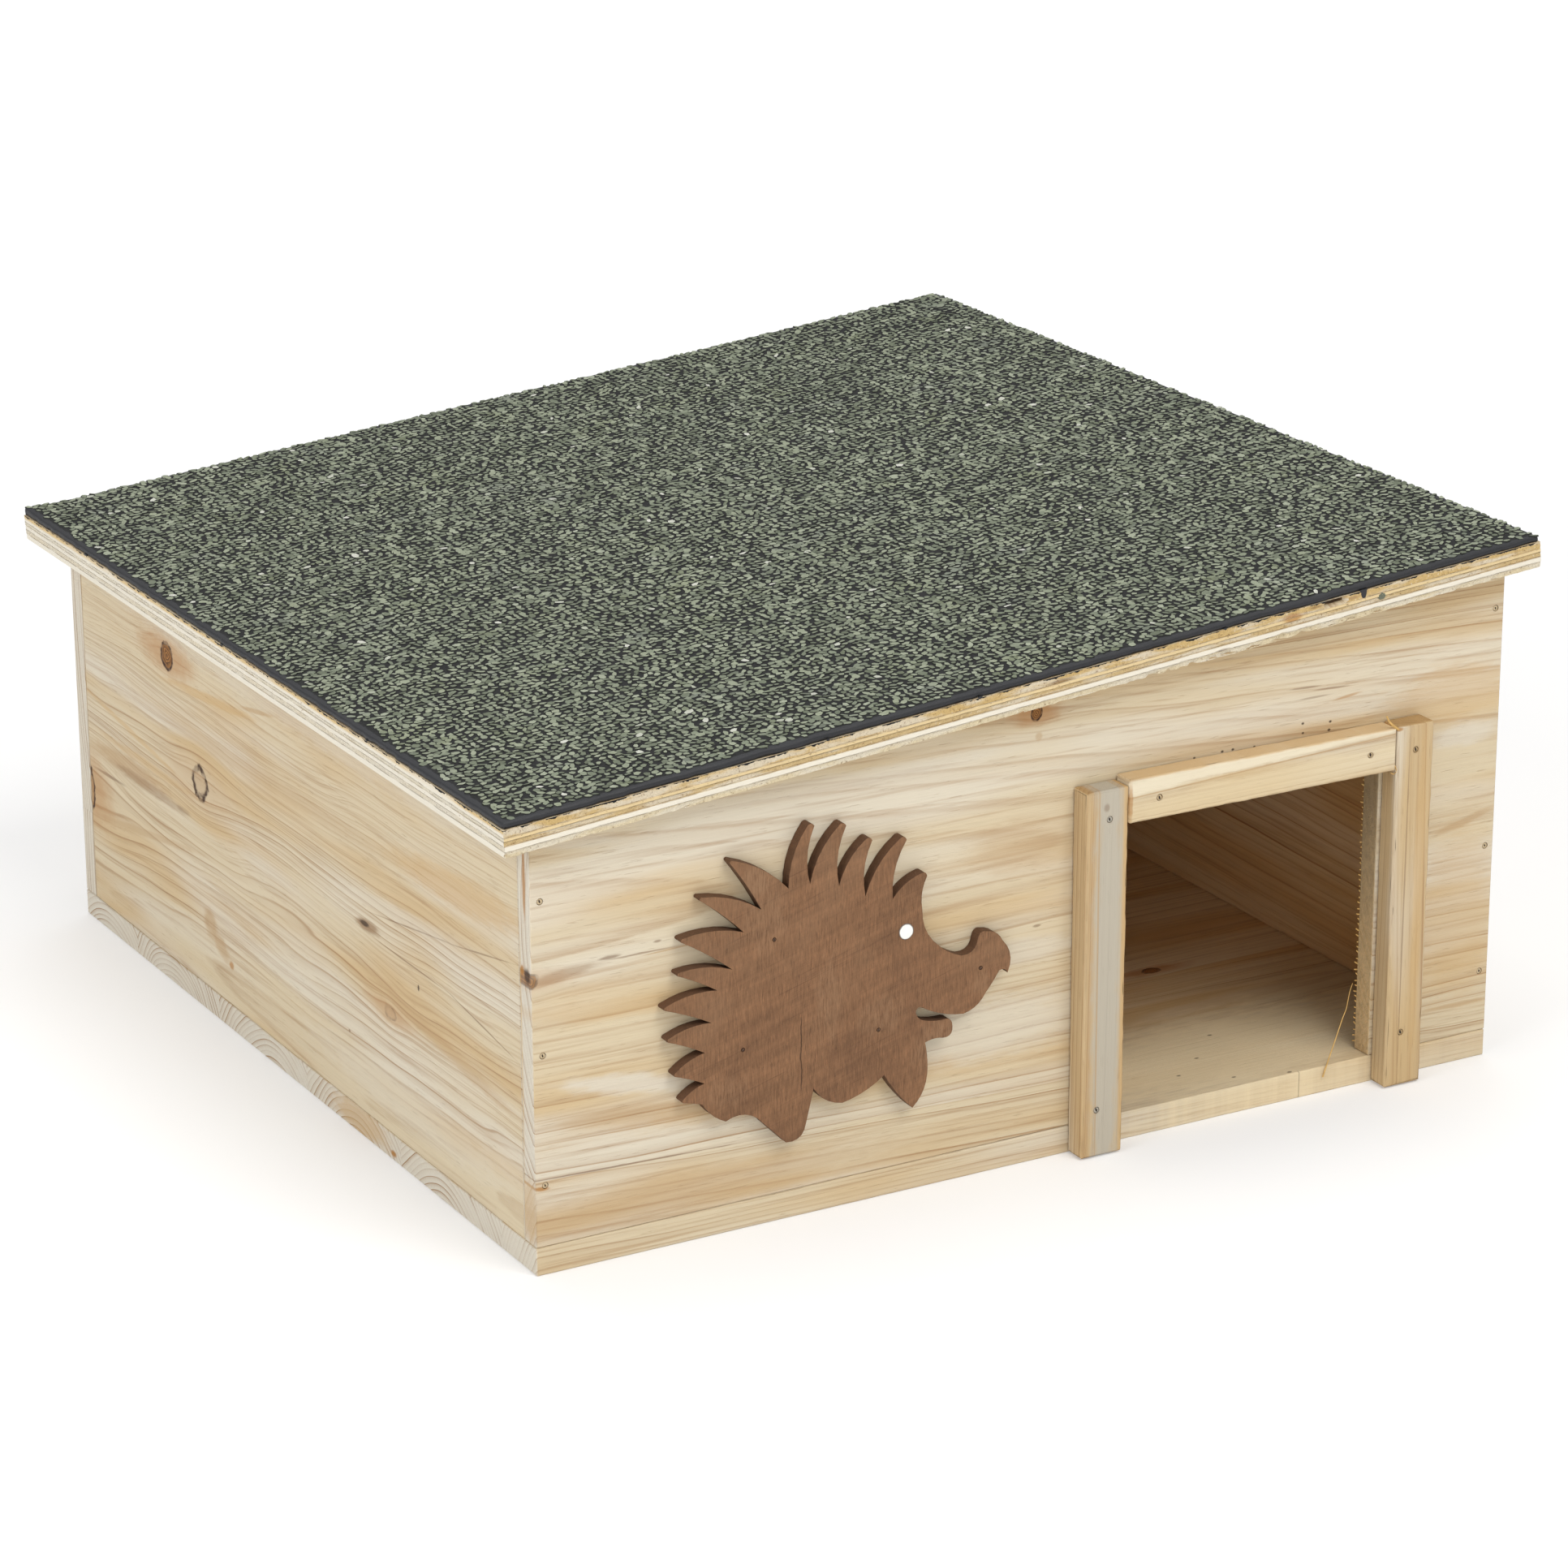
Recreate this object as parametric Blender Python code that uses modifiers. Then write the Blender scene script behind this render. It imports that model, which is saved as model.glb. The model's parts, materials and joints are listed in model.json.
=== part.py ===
"""Hedgehog house: a nailed box of softwood boards under a hinged lean-to roof with mineral felt.

Everything is in metres with +Z up. The entrance faces -Y and the roof rises towards +X.
The origin is the middle of the whole house at the level of the ground.
"""

from math import asin, atan, cos, hypot, pi, radians, sin

import bmesh
import bpy
from mathutils import Matrix

# Box of boards
house_width = 0.450
house_depth = 0.4535
left_height = 0.1783
right_height = 0.2167
floor_thickness = 0.0117
wall_thickness = 0.010
back_thickness = 0.0118
board_edge_round = 0.0005

# Clearances
seam_gap = 0.0003
drill_gap = 0.0003
cut_overrun = 0.002

# Entrance in the front panel, at a distance from its high end
entrance_inset = 0.0606
entrance_width = 0.1279
entrance_height = 0.1308

# Trim round the entrance
trim_depth = 0.0102
trim_lift = 0.0006
trim_edge_round = 0.0009
trim_setback = 0.0013
left_rail_width = 0.0196
left_rail_top = 0.1574
right_rail_width = 0.0182
right_rail_top = 0.1598
lintel_height = 0.0184
lintel_drop = 0.0003

# Inner partition that turns the entrance into a passage
partition_door_width = 0.130
partition_door_height = 0.130
partition_door_inset = 0.020

# Roof board and felt
roof_thickness = 0.011
roof_left_overhang = 0.0148
roof_right_overhang = 0.0099
roof_front_overhang = 0.0107
roof_back_overhang = 0.0131
felt_thickness = 0.0032
felt_inset = 0.0004
felt_edge_round = 0.0012
felt_corner_radius = 0.003

# Butt hinges on the high wall
hinge_length = 0.040
hinge_end_distance = 0.085
hinge_leaf_width = 0.0145
hinge_leaf_thickness = 0.0012
hinge_barrel_radius = 0.0026
hinge_pin_radius = 0.0011
hinge_pin_fit = 0.0001
hinge_pin_head_radius = 0.0017
hinge_pin_head_length = 0.0008
hinge_screw_row = 0.0088
hinge_screw_pitch = 0.022
hinge_knuckles = 3

# Countersunk screws
screw_head_radius = 0.0023
screw_head_depth = 0.0012
screw_shank_radius = 0.0013
screw_length = 0.009
screw_point_length = 0.002

# Nails
nail_head_radius = 0.00115
nail_head_thickness = 0.0005
nail_shank_radius = 0.0007
nail_point_length = 0.0015
nail_sink = 0.0002
rail_nail_length = 0.018
board_nail_length = 0.028
nail_end_inset = 0.0043
pin_head_radius = 0.0006
pin_head_thickness = 0.0003
pin_shank_radius = 0.00035
pin_point_length = 0.0008
pin_length = 0.012

# Hedgehog figure on the front
figure_bottom = 0.0351
figure_width = 0.1556
figure_height = 0.130
figure_thickness = 0.005
crown_tip_width = 0.0030
back_tip_width = 0.0014

# Mesh clean-up
merge_distance = 0.00001
flat_angle = radians(0.5)
crease_angle = radians(30.0)

# Facet counts
arc_steps = 5
nail_facets = 10
screw_facets = 12
barrel_facets = 20
edge_segments = 2

# Shares of the panel height at its ends, for the nails that hold it to the side walls
left_nail_height_shares = (0.21, 0.51, 0.86)
right_nail_height_shares = (0.18, 0.44, 0.92)
floor_nail_depth_shares = (0.15, 0.50, 0.85)
partition_nail_height_shares = (0.30, 0.75)

# Shares of the width and height of each piece of trim, for its nails
left_rail_nail_shares = ((0.55, 0.92), (0.36, 0.13))
right_rail_nail_shares = ((0.51, 0.93), (0.40, 0.15))
lintel_nail_shares = ((0.11, 0.48), (0.90, 0.49))

# Share of the room beside the figure that lies to its left
figure_place_share = 0.632

# Shares of the figure's width and height
figure_pin_shares = ((0.31, 0.66), (0.22, 0.33), (0.61, 0.30), (0.91, 0.43))

# Spines: share of width and height of the tip, then of the notch behind it
crown_spine_shares = (
    (0.742, 0.770, 0.650, 0.712),
    (0.681, 0.897, 0.571, 0.738),
    (0.581, 0.916, 0.495, 0.788),
    (0.506, 0.978, 0.412, 0.812),
    (0.415, 0.996, 0.351, 0.812),
)
back_spine_shares = (
    (0.189, 0.931, 0.274, 0.763),
    (0.104, 0.834, 0.224, 0.703),
    (0.050, 0.716, 0.191, 0.593),
    (0.040, 0.612, 0.148, 0.537),
    (0.002, 0.512, 0.131, 0.438),
    (0.010, 0.410, 0.112, 0.347),
    (0.028, 0.296, 0.111, 0.249),
    (0.050, 0.206, 0.104, 0.183),
)

# Bow shares say how far a stretch bulges outwards, as a share of its length
crown_bow_shares = (-0.09, 0.09)
back_bow_shares = (0.07, -0.02)
tip_bow_share = 0.25

# Belly, feet, arm and head: share of width, share of height, bow share of the stretch that leads there
underside_shares = (
    (0.170, 0.112, 0.08),
    (0.26, 0.100, -0.15),
    (0.342, 0.0, 0.0),
    (0.40, 0.050, 0.25),
    (0.422, 0.155, 0.0),
    (0.505, 0.088, 0.12),
    (0.627, 0.148, 0.06),
    (0.711, 0.020, 0.04),
    (0.754, 0.120, 0.10),
    (0.747, 0.225, 0.04),
    (0.800, 0.228, -0.08),
)
hand_and_head_shares = (
    (0.828, 0.260, 0.30),
    (0.800, 0.288, 0.28),
    (0.745, 0.298, -0.04),
    (0.719, 0.330, -0.15),
    (0.737, 0.342, -0.35),
    (0.860, 0.292, 0.06),
    (0.926, 0.346, 0.12),
    (0.965, 0.408, 0.02),
    (0.991, 0.396, -0.25),
    (0.975, 0.505, 0.17),
    (0.926, 0.546, 0.14),
    (0.901, 0.530, 0.25),
    (0.852, 0.484, -0.25),
    (0.787, 0.530, -0.05),
    (0.736, 0.660, -0.12),
)

# Slope of the roof and the line of its underside
roof_slope = atan((right_height - left_height) / house_width)
wall_bottom = floor_thickness + seam_gap
entrance_top = floor_thickness + entrance_height
entrance_right = house_width - entrance_inset
entrance_left = entrance_right - entrance_width

# Places that follow from the entrance
left_rail_right = entrance_left - trim_setback
left_rail_left = left_rail_right - left_rail_width
right_rail_left = entrance_right + trim_setback
partition_left = left_rail_left + (left_rail_width - wall_thickness) / 2
figure_left = (left_rail_left - figure_width) * figure_place_share

# Hinge pin, in the house's own frame: just outside the high wall and just under the roof board
pin_out = seam_gap + hinge_barrel_radius
pin_drop = hinge_barrel_radius + seam_gap
pin_x = house_width + pin_out

# Middle of the whole house
lowest_x = -roof_left_overhang - roof_thickness * sin(roof_slope)
highest_x = house_width + roof_right_overhang
middle_x = (lowest_x + highest_x) / 2
middle_y = (house_depth + roof_back_overhang - roof_front_overhang) / 2

# Colours as linear red, green and blue
board_colour = (0.67, 0.56, 0.38)
trim_colour = (0.62, 0.50, 0.32)
plywood_colour = (0.60, 0.47, 0.28)
figure_colour = (0.13, 0.055, 0.03)
felt_colour = (0.055, 0.07, 0.052)
steel_colour = (0.45, 0.44, 0.42)
nail_colour = (0.16, 0.14, 0.12)


def underside_height(x):
    """Height of the roof board's underside above the ground."""
    return left_height + (right_height - left_height) * x / house_width


def wall_top(x):
    """Height of a wall's top edge, just clear of the roof."""
    return underside_height(x) - seam_gap / cos(roof_slope)


def clear_scene():
    """Remove whatever the scene holds."""
    for item in list(bpy.data.objects):
        bpy.data.objects.remove(item, do_unlink=True)


def make_collection(name):
    """Add a collection to the scene."""
    collection = bpy.data.collections.new(name)
    bpy.context.scene.collection.children.link(collection)
    return collection


def make_material(name, colour, roughness, metallic):
    """A plain material with one shader."""
    material = bpy.data.materials.new(name)
    material.use_nodes = True
    shader = material.node_tree.nodes["Principled BSDF"]
    shader.inputs["Base Color"].default_value = (*colour, 1.0)
    shader.inputs["Roughness"].default_value = roughness
    shader.inputs["Metallic"].default_value = metallic
    return material


def board_material(name):
    """Unpainted softwood."""
    return make_material(name + "_wood", board_colour, 0.65, 0.0)


def trim_material(name):
    """Planed batten, a little darker than the boards."""
    return make_material(name + "_wood", trim_colour, 0.6, 0.0)


def plywood_material(name):
    """Sawn plywood."""
    return make_material(name + "_plywood", plywood_colour, 0.7, 0.0)


def figure_material(name):
    """Brown stained wood."""
    return make_material(name + "_stained", figure_colour, 0.6, 0.0)


def felt_material(name):
    """Green-grey mineral felt."""
    return make_material(name + "_mineral", felt_colour, 0.95, 0.0)


def steel_material(name):
    """Bright zinc-plated steel."""
    return make_material(name + "_steel", steel_colour, 0.35, 1.0)


def nail_material(name):
    """Dull steel wire."""
    return make_material(name + "_wire", nail_colour, 0.5, 1.0)


def make_empty(name, location, rotation, parent, collection):
    """A frame that pieces are placed in."""
    empty = bpy.data.objects.new(name, None)
    empty.location = location
    empty.rotation_euler = rotation
    empty.parent = parent
    collection.objects.link(empty)
    return empty


def add_object(name, mesh, place, material):
    """Link a mesh as an object, at a location and rotation under its parent."""
    item = bpy.data.objects.new(name, mesh)
    item.location = place["location"]
    item.rotation_euler = place.get("rotation", (0.0, 0.0, 0.0))
    item.parent = place["parent"]
    place["collection"].objects.link(item)
    if material is None:
        item.hide_render = True
        item.display_type = "WIRE"
    else:
        mesh.materials.append(material)
    return item


def add_box(name, low, high, place, material=None):
    """A box between two corners, with its own middle as the object's origin."""
    size = [top - bottom for bottom, top in zip(low, high)]
    middle = [(top + bottom) / 2 for bottom, top in zip(low, high)]
    mesh = bpy.data.meshes.new(name)
    shape = bmesh.new()
    bmesh.ops.create_cube(shape, size=1.0, matrix=Matrix.Diagonal((*size, 1.0)))
    shape.to_mesh(mesh)
    shape.free()
    return add_object(name, mesh, dict(place, location=middle), material)


def flat_curve(name, outlines, thickness):
    """A filled flat outline with square edges, as a curve in its own XY plane."""
    curve = bpy.data.curves.new(name, "CURVE")
    curve.dimensions = "2D"
    curve.fill_mode = "BOTH"
    curve.extrude = thickness / 2
    for outline in outlines:
        spline = curve.splines.new("POLY")
        spline.points.add(len(outline) - 1)
        for point, (across, up) in zip(spline.points, outline):
            point.co = (across, up, 0.0, 1.0)
        spline.use_cyclic_u = True
    return curve


def add_profile(name, outlines, y_low, y_high, place, material):
    """Outlines in the XZ plane carried from y_low to y_high, made a closed mesh."""
    curve = flat_curve(name + "_outline", outlines, y_high - y_low)
    guide = bpy.data.objects.new(name + "_outline", curve)
    place["collection"].objects.link(guide)
    guide.rotation_euler = (pi / 2, 0.0, 0.0)
    bpy.context.view_layer.update()
    depsgraph = bpy.context.evaluated_depsgraph_get()
    mesh = bpy.data.meshes.new_from_object(guide.evaluated_get(depsgraph))
    shape = bmesh.new()
    shape.from_mesh(mesh)
    bmesh.ops.remove_doubles(shape, verts=shape.verts, dist=merge_distance)
    bmesh.ops.dissolve_limit(shape, angle_limit=flat_angle, verts=shape.verts, edges=shape.edges)
    bmesh.ops.transform(shape, matrix=guide.matrix_world, verts=shape.verts)
    bmesh.ops.recalc_face_normals(shape, faces=shape.faces)
    shape.to_mesh(mesh)
    shape.free()
    mesh.name = name
    mesh.materials.clear()
    bpy.data.objects.remove(guide, do_unlink=True)
    bpy.data.curves.remove(curve)
    return add_object(name, mesh, dict(place, location=(0.0, (y_low + y_high) / 2, 0.0)), material)


def ease_edges(item, width, segments=1):
    """Take the sharpness off a piece's edges."""
    bevel = item.modifiers.new("eased_edges", "BEVEL")
    bevel.width = width
    bevel.segments = segments
    bevel.limit_method = "ANGLE"
    bevel.angle_limit = crease_angle
    return item


def cut(item, cutter):
    """Take one cutter out of a piece."""
    boolean = item.modifiers.new(cutter.name, "BOOLEAN")
    boolean.operation = "DIFFERENCE"
    boolean.solver = "EXACT"
    boolean.object = cutter


def add_turned(name, profile, facets, place, material=None):
    """A turned piece from (radius, height) points, listed from the top down."""
    mesh = bpy.data.meshes.new(name)
    shape = bmesh.new()
    points = [shape.verts.new((radius, 0.0, height)) for radius, height in profile]
    for upper, lower in zip(points, points[1:]):
        shape.edges.new((upper, lower))
    shape.to_mesh(mesh)
    shape.free()
    item = add_object(name, mesh, place, material)
    turn = item.modifiers.new("turned", "SCREW")
    turn.axis = "Z"
    turn.steps = facets
    turn.render_steps = facets
    turn.use_merge_vertices = True
    turn.merge_threshold = merge_distance
    turn.use_smooth_shade = True
    return item


def nail_profile(length, head_radius, head_thickness, shank_radius, point_length, grow, rise):
    """Half outline of a nail, or with grow and rise of the hole that takes it."""
    head_base = -head_thickness - grow
    tip = -length - grow
    return [
        (0.0, rise),
        (head_radius + grow, rise),
        (head_radius + grow, head_base),
        (shank_radius + grow, head_base),
        (shank_radius + grow, tip + point_length),
        (0.0, tip),
    ]


def screw_profile(grow, rise):
    """Half outline of a countersunk screw, or of the hole that takes it."""
    profile = [(0.0, rise), (screw_head_radius + grow, rise)]
    if rise > 0.0:
        profile.append((screw_head_radius + grow, 0.0))
    profile.append((screw_shank_radius + grow, -screw_head_depth))
    profile.append((screw_shank_radius + grow, screw_point_length - screw_length - grow))
    profile.append((0.0, -screw_length - grow))
    return profile


def drive_nail(name, place, length, boards, cutters, small=False):
    """Set a nail in its own hole through the given boards."""
    if small:
        sizes = (pin_head_radius, pin_head_thickness, pin_shank_radius, pin_point_length)
    else:
        sizes = (nail_head_radius, nail_head_thickness, nail_shank_radius, nail_point_length)
    add_turned(name, nail_profile(length, *sizes, 0.0, 0.0), nail_facets, place, nail_material(name))
    hole = nail_profile(length, *sizes, drill_gap, cut_overrun)
    cutter = add_turned(name + "_hole", hole, nail_facets, dict(place, collection=cutters))
    for board in boards:
        cut(board, cutter)


def drive_screw(name, place, pieces, cutters):
    """Set a countersunk screw in its own hole through a leaf and the wood behind it."""
    add_turned(name, screw_profile(0.0, 0.0), screw_facets, place, steel_material(name))
    hole = screw_profile(drill_gap, cut_overrun)
    cutter = add_turned(name + "_hole", hole, screw_facets, dict(place, collection=cutters))
    for piece in pieces:
        cut(piece, cutter)


def add_floor(place):
    """Floor board under all the walls."""
    floor = add_box("floor_board", (0.0, 0.0, 0.0), (house_width, house_depth, floor_thickness), place,
                    board_material("floor_board"))
    return ease_edges(floor, board_edge_round)


def panel_outline(notch=()):
    """Front or back panel seen from the front, with an optional notch in its lower edge."""
    lower_edge = [(0.0, wall_bottom), *notch, (house_width, wall_bottom)]
    return lower_edge + [(house_width, wall_top(house_width)), (0.0, wall_top(0.0))]


def add_front_panel(place):
    """Front panel with the entrance cut up from its lower edge."""
    notch = [(entrance_left, wall_bottom), (entrance_left, entrance_top),
             (entrance_right, entrance_top), (entrance_right, wall_bottom)]
    panel = add_profile("front_panel", [panel_outline(notch)], 0.0, wall_thickness, place,
                        board_material("front_panel"))
    return ease_edges(panel, board_edge_round)


def add_back_panel(place):
    """Plain back panel."""
    panel = add_profile("back_panel", [panel_outline()], house_depth - back_thickness, house_depth, place,
                        board_material("back_panel"))
    return ease_edges(panel, board_edge_round)


def add_inner_wall(name, left, place):
    """A wall between the front and back panels, with its top edge cut to the roof's slope."""
    right = left + wall_thickness
    outline = [(left, wall_bottom), (right, wall_bottom), (right, wall_top(right)), (left, wall_top(left))]
    wall = add_profile(name, [outline], wall_thickness + seam_gap, house_depth - back_thickness - seam_gap,
                       place, board_material(name))
    return ease_edges(wall, board_edge_round)


def add_partition(place, cutters):
    """Partition beside the entrance, open at its back end so that the passage turns into the nest."""
    partition = add_inner_wall("partition", partition_left, place)
    left = partition_left - cut_overrun
    right = partition_left + wall_thickness + cut_overrun
    door_back = house_depth - back_thickness - partition_door_inset
    door_front = door_back - partition_door_width
    doorway = add_box("partition_doorway", (left, door_front, floor_thickness - cut_overrun),
                      (right, door_back, floor_thickness + partition_door_height),
                      dict(place, collection=cutters))
    cut(partition, doorway)
    return partition


def add_trim(name, left, right, bottom, top, place):
    """A planed batten on the front of the house."""
    batten = add_box(name, (left, -seam_gap - trim_depth, bottom), (right, -seam_gap, top), place,
                     trim_material(name))
    return ease_edges(batten, trim_edge_round, edge_segments)


def trim_spans():
    """Low and high corners across the front, for each piece of trim."""
    lintel_top = right_rail_top - lintel_drop
    return {
        "left_door_rail": (left_rail_left, trim_lift, left_rail_right, left_rail_top),
        "right_door_rail": (right_rail_left, trim_lift, right_rail_left + right_rail_width, right_rail_top),
        "door_lintel": (left_rail_right + seam_gap, lintel_top - lintel_height,
                        right_rail_left - seam_gap, lintel_top),
    }


def add_entrance_trim(place, cutters, front_panel):
    """Two rails and the lintel between them, each nailed to the front panel."""
    nail_shares = {
        "left_door_rail": left_rail_nail_shares,
        "right_door_rail": right_rail_nail_shares,
        "door_lintel": lintel_nail_shares,
    }
    front_face = -seam_gap - trim_depth + nail_sink
    for name, (left, bottom, right, top) in trim_spans().items():
        batten = add_trim(name, left, right, bottom, top, place)
        for number, (across, up) in enumerate(nail_shares[name], 1):
            spot = (left + across * (right - left), front_face, bottom + up * (top - bottom))
            nail_place = dict(place, location=spot, rotation=(pi / 2, 0.0, 0.0))
            drive_nail(f"{name}_nail_{number}", nail_place, rail_nail_length, [batten, front_panel], cutters)


def nail_panel_ends(name, panel, y_face, turn, left_wall, right_wall, place, cutters):
    """Nails through a panel's two ends into the side walls behind it."""
    spots = [(nail_end_inset, share * wall_top(0.0), left_wall) for share in left_nail_height_shares]
    far = house_width - nail_end_inset
    spots += [(far, share * wall_top(house_width), right_wall) for share in right_nail_height_shares]
    for number, (x, z, wall) in enumerate(spots, 1):
        nail_place = dict(place, location=(x, y_face, z), rotation=(turn, 0.0, 0.0))
        drive_nail(f"{name}_nail_{number}", nail_place, board_nail_length, [panel, wall], cutters)


def nail_floor(floor, left_wall, right_wall, place, cutters):
    """Nails from below, through the floor board into the side walls."""
    number = 0
    for x, wall in ((wall_thickness / 2, left_wall), (house_width - wall_thickness / 2, right_wall)):
        for share in floor_nail_depth_shares:
            number += 1
            nail_place = dict(place, location=(x, share * house_depth, nail_sink), rotation=(pi, 0.0, 0.0))
            drive_nail(f"floor_nail_{number}", nail_place, board_nail_length, [floor, wall], cutters)


def nail_partition(back_panel, partition, place, cutters):
    """Nails through the back panel into the end of the partition."""
    x = partition_left + wall_thickness / 2
    boards = [back_panel, partition]
    for number, share in enumerate(partition_nail_height_shares, 1):
        nail_place = dict(place, location=(x, house_depth - nail_sink, share * wall_top(x)),
                          rotation=(-pi / 2, 0.0, 0.0))
        drive_nail(f"partition_nail_{number}", nail_place, board_nail_length, boards, cutters)


def bowed_stretch(start, end, bow_share):
    """Points after start, up to end, on a shallow arc that bulges to the right of travel."""
    across = end[0] - start[0]
    up = end[1] - start[1]
    steps = arc_steps if bow_share else 1
    points = []
    for step in range(1, steps + 1):
        way = step / steps
        rise = 4 * way * (1 - way) * bow_share
        points.append((start[0] + across * way + up * rise, start[1] + up * way - across * rise))
    return points


def spine_corners(last_notch, spine_shares, tip_width, bow_shares):
    """Corner points and bow shares of a row of curved spines, each with its tip and the notch behind it."""
    corners = []
    for tip_across, tip_up, notch_across, notch_up in spine_shares:
        tip = (tip_across * figure_width, tip_up * figure_height)
        notch = (notch_across * figure_width, notch_up * figure_height)
        along = (2 * tip[0] - last_notch[0] - notch[0], 2 * tip[1] - last_notch[1] - notch[1])
        half_tip = tip_width / hypot(*along) / 2
        side = (along[1] * half_tip, -along[0] * half_tip)
        corners.append(((tip[0] + side[0], tip[1] + side[1]), bow_shares[0]))
        corners.append(((tip[0] - side[0], tip[1] - side[1]), tip_bow_share))
        corners.append((notch, bow_shares[1]))
        last_notch = notch
    return corners


def hedgehog_outline():
    """Outline of the walking hedgehog, from its first crown spine round to its forehead."""
    head = [((across * figure_width, up * figure_height), bow_share)
            for across, up, bow_share in underside_shares + hand_and_head_shares]
    corners = spine_corners(head[-1][0], crown_spine_shares, crown_tip_width, crown_bow_shares)
    corners += spine_corners(corners[-1][0], back_spine_shares, back_tip_width, back_bow_shares)
    corners += head
    outline = []
    last = corners[-1][0]
    for corner, bow_share in corners:
        outline += bowed_stretch(last, corner, bow_share)
        last = corner
    return outline


def add_hedgehog(place, cutters, front_panel):
    """Flat hedgehog figure, pinned to the front panel."""
    outline = [(figure_left + x, figure_bottom + z) for x, z in hedgehog_outline()]
    front_face = -seam_gap - figure_thickness
    figure = add_profile("hedgehog_figure", [outline], front_face, -seam_gap, place,
                         figure_material("hedgehog_figure"))
    for number, (across, up) in enumerate(figure_pin_shares, 1):
        spot = (figure_left + across * figure_width, front_face, figure_bottom + up * figure_height)
        pin_place = dict(place, location=spot, rotation=(pi / 2, 0.0, 0.0))
        drive_nail(f"figure_pin_{number}", pin_place, pin_length, [figure, front_panel], cutters, small=True)
    return figure


def roof_ends():
    """Ends of the roof board along its slope, measured from the hinge pin."""
    foot_x = pin_x - pin_drop * sin(roof_slope)
    left_end = (-roof_left_overhang - foot_x) / cos(roof_slope)
    right_end = (house_width + roof_right_overhang - foot_x) / cos(roof_slope)
    return left_end, right_end


def add_roof_board(place):
    """Plywood roof board, square to its own slope."""
    left_end, right_end = roof_ends()
    return add_box("roof_board",
                   (left_end, -roof_front_overhang, pin_drop),
                   (right_end, house_depth + roof_back_overhang, pin_drop + roof_thickness),
                   place, plywood_material("roof_board"))


def add_roof_felt(place):
    """Mineral felt on the roof board, with rounded corners and a rounded upper edge."""
    left_end, right_end = roof_ends()
    back_end = house_depth + roof_back_overhang
    low_z = pin_drop + roof_thickness + seam_gap
    felt = add_box("roof_felt",
                   (left_end + felt_inset, felt_inset - roof_front_overhang, low_z),
                   (right_end - felt_inset, back_end - felt_inset, low_z + felt_thickness),
                   place, felt_material("roof_felt"))
    shape = bmesh.new()
    shape.from_mesh(felt.data)
    upright = [edge for edge in shape.edges if edge.verts[0].co.z * edge.verts[1].co.z < 0.0]
    bmesh.ops.bevel(shape, geom=upright, offset=felt_corner_radius, offset_type="OFFSET", affect="EDGES",
                    segments=arc_steps, profile=0.5, material=-1)
    upper = [edge for edge in shape.edges if min(vert.co.z for vert in edge.verts) > 0.0]
    bmesh.ops.bevel(shape, geom=upper, offset=felt_edge_round, offset_type="OFFSET", affect="EDGES",
                    segments=edge_segments, profile=0.5, material=-1)
    shape.to_mesh(felt.data)
    shape.free()
    return felt


def pin_bore():
    """Closed circle of the bore that turns on the hinge pin."""
    radius = hinge_pin_radius + hinge_pin_fit
    angles = [2 * pi * k / barrel_facets for k in range(barrel_facets)]
    return [(radius * cos(angle), radius * sin(angle)) for angle in angles]


def leaf_outline():
    """Barrel with a leaf that leaves it at the top towards -X, seen along the pin.

    The barrel runs clockwise from its top, round by +X and below, to where it meets the leaf's lower face.
    """
    leaf_inner = hinge_barrel_radius - hinge_leaf_thickness
    join_angle = asin(leaf_inner / hinge_barrel_radius)
    sweep = 3 * pi / 2 + join_angle
    outline = [(-hinge_leaf_width, hinge_barrel_radius)]
    for k in range(barrel_facets):
        angle = pi / 2 - sweep * k / (barrel_facets - 1)
        outline.append((hinge_barrel_radius * cos(angle), hinge_barrel_radius * sin(angle)))
    outline.append((-hinge_leaf_width, leaf_inner))
    return outline


def quarter_turned(outline):
    """The same outline turned a quarter turn, so that the leaf hangs down beside the wall."""
    return [(-up, across) for across, up in outline]


def knuckle_spans(middle_y):
    """The stretches of the barrel along the pin: outer, middle and outer."""
    knuckle = hinge_length / hinge_knuckles
    start = middle_y - hinge_length / 2
    return [(start + knuckle * k, start + knuckle * (k + 1)) for k in range(hinge_knuckles)]


def clear_knuckles(leaf, spans, low_corner, high_corner, place, cutters):
    """Take away the barrel of a leaf where the other leaf's knuckles turn."""
    for number, (start, end) in enumerate(spans, 1):
        cutter = add_box(f"{leaf.name}_gap_{number}", (low_corner[0], start, low_corner[1]),
                         (high_corner[0], end, high_corner[1]), dict(place, collection=cutters))
        cut(leaf, cutter)


def add_wall_leaf(name, middle_y, place, cutters):
    """Hinge leaf on the outer face of the high wall, with the two outer knuckles."""
    outlines = [quarter_turned(leaf_outline()), pin_bore()]
    leaf = add_profile(name, outlines, middle_y - hinge_length / 2, middle_y + hinge_length / 2, place,
                       steel_material(name))
    clear = hinge_barrel_radius + seam_gap
    middle_span = knuckle_spans(middle_y)[1]
    clear_knuckles(leaf, [middle_span], (-clear - cut_overrun, -clear),
                   (clear + cut_overrun, clear + cut_overrun), place, cutters)
    return leaf


def add_roof_leaf(name, middle_y, place, cutters):
    """Hinge leaf under the roof board, with the middle knuckle."""
    outlines = [leaf_outline(), pin_bore()]
    leaf = add_profile(name, outlines, middle_y - hinge_length / 2, middle_y + hinge_length / 2, place,
                       steel_material(name))
    clear = hinge_barrel_radius + seam_gap
    first, _, last = knuckle_spans(middle_y)
    spans = [(first[0] - cut_overrun, first[1] + seam_gap), (last[0] - seam_gap, last[1] + cut_overrun)]
    clear_knuckles(leaf, spans, (-clear, -clear - cut_overrun),
                   (clear + cut_overrun, clear + cut_overrun), place, cutters)
    return leaf


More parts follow.
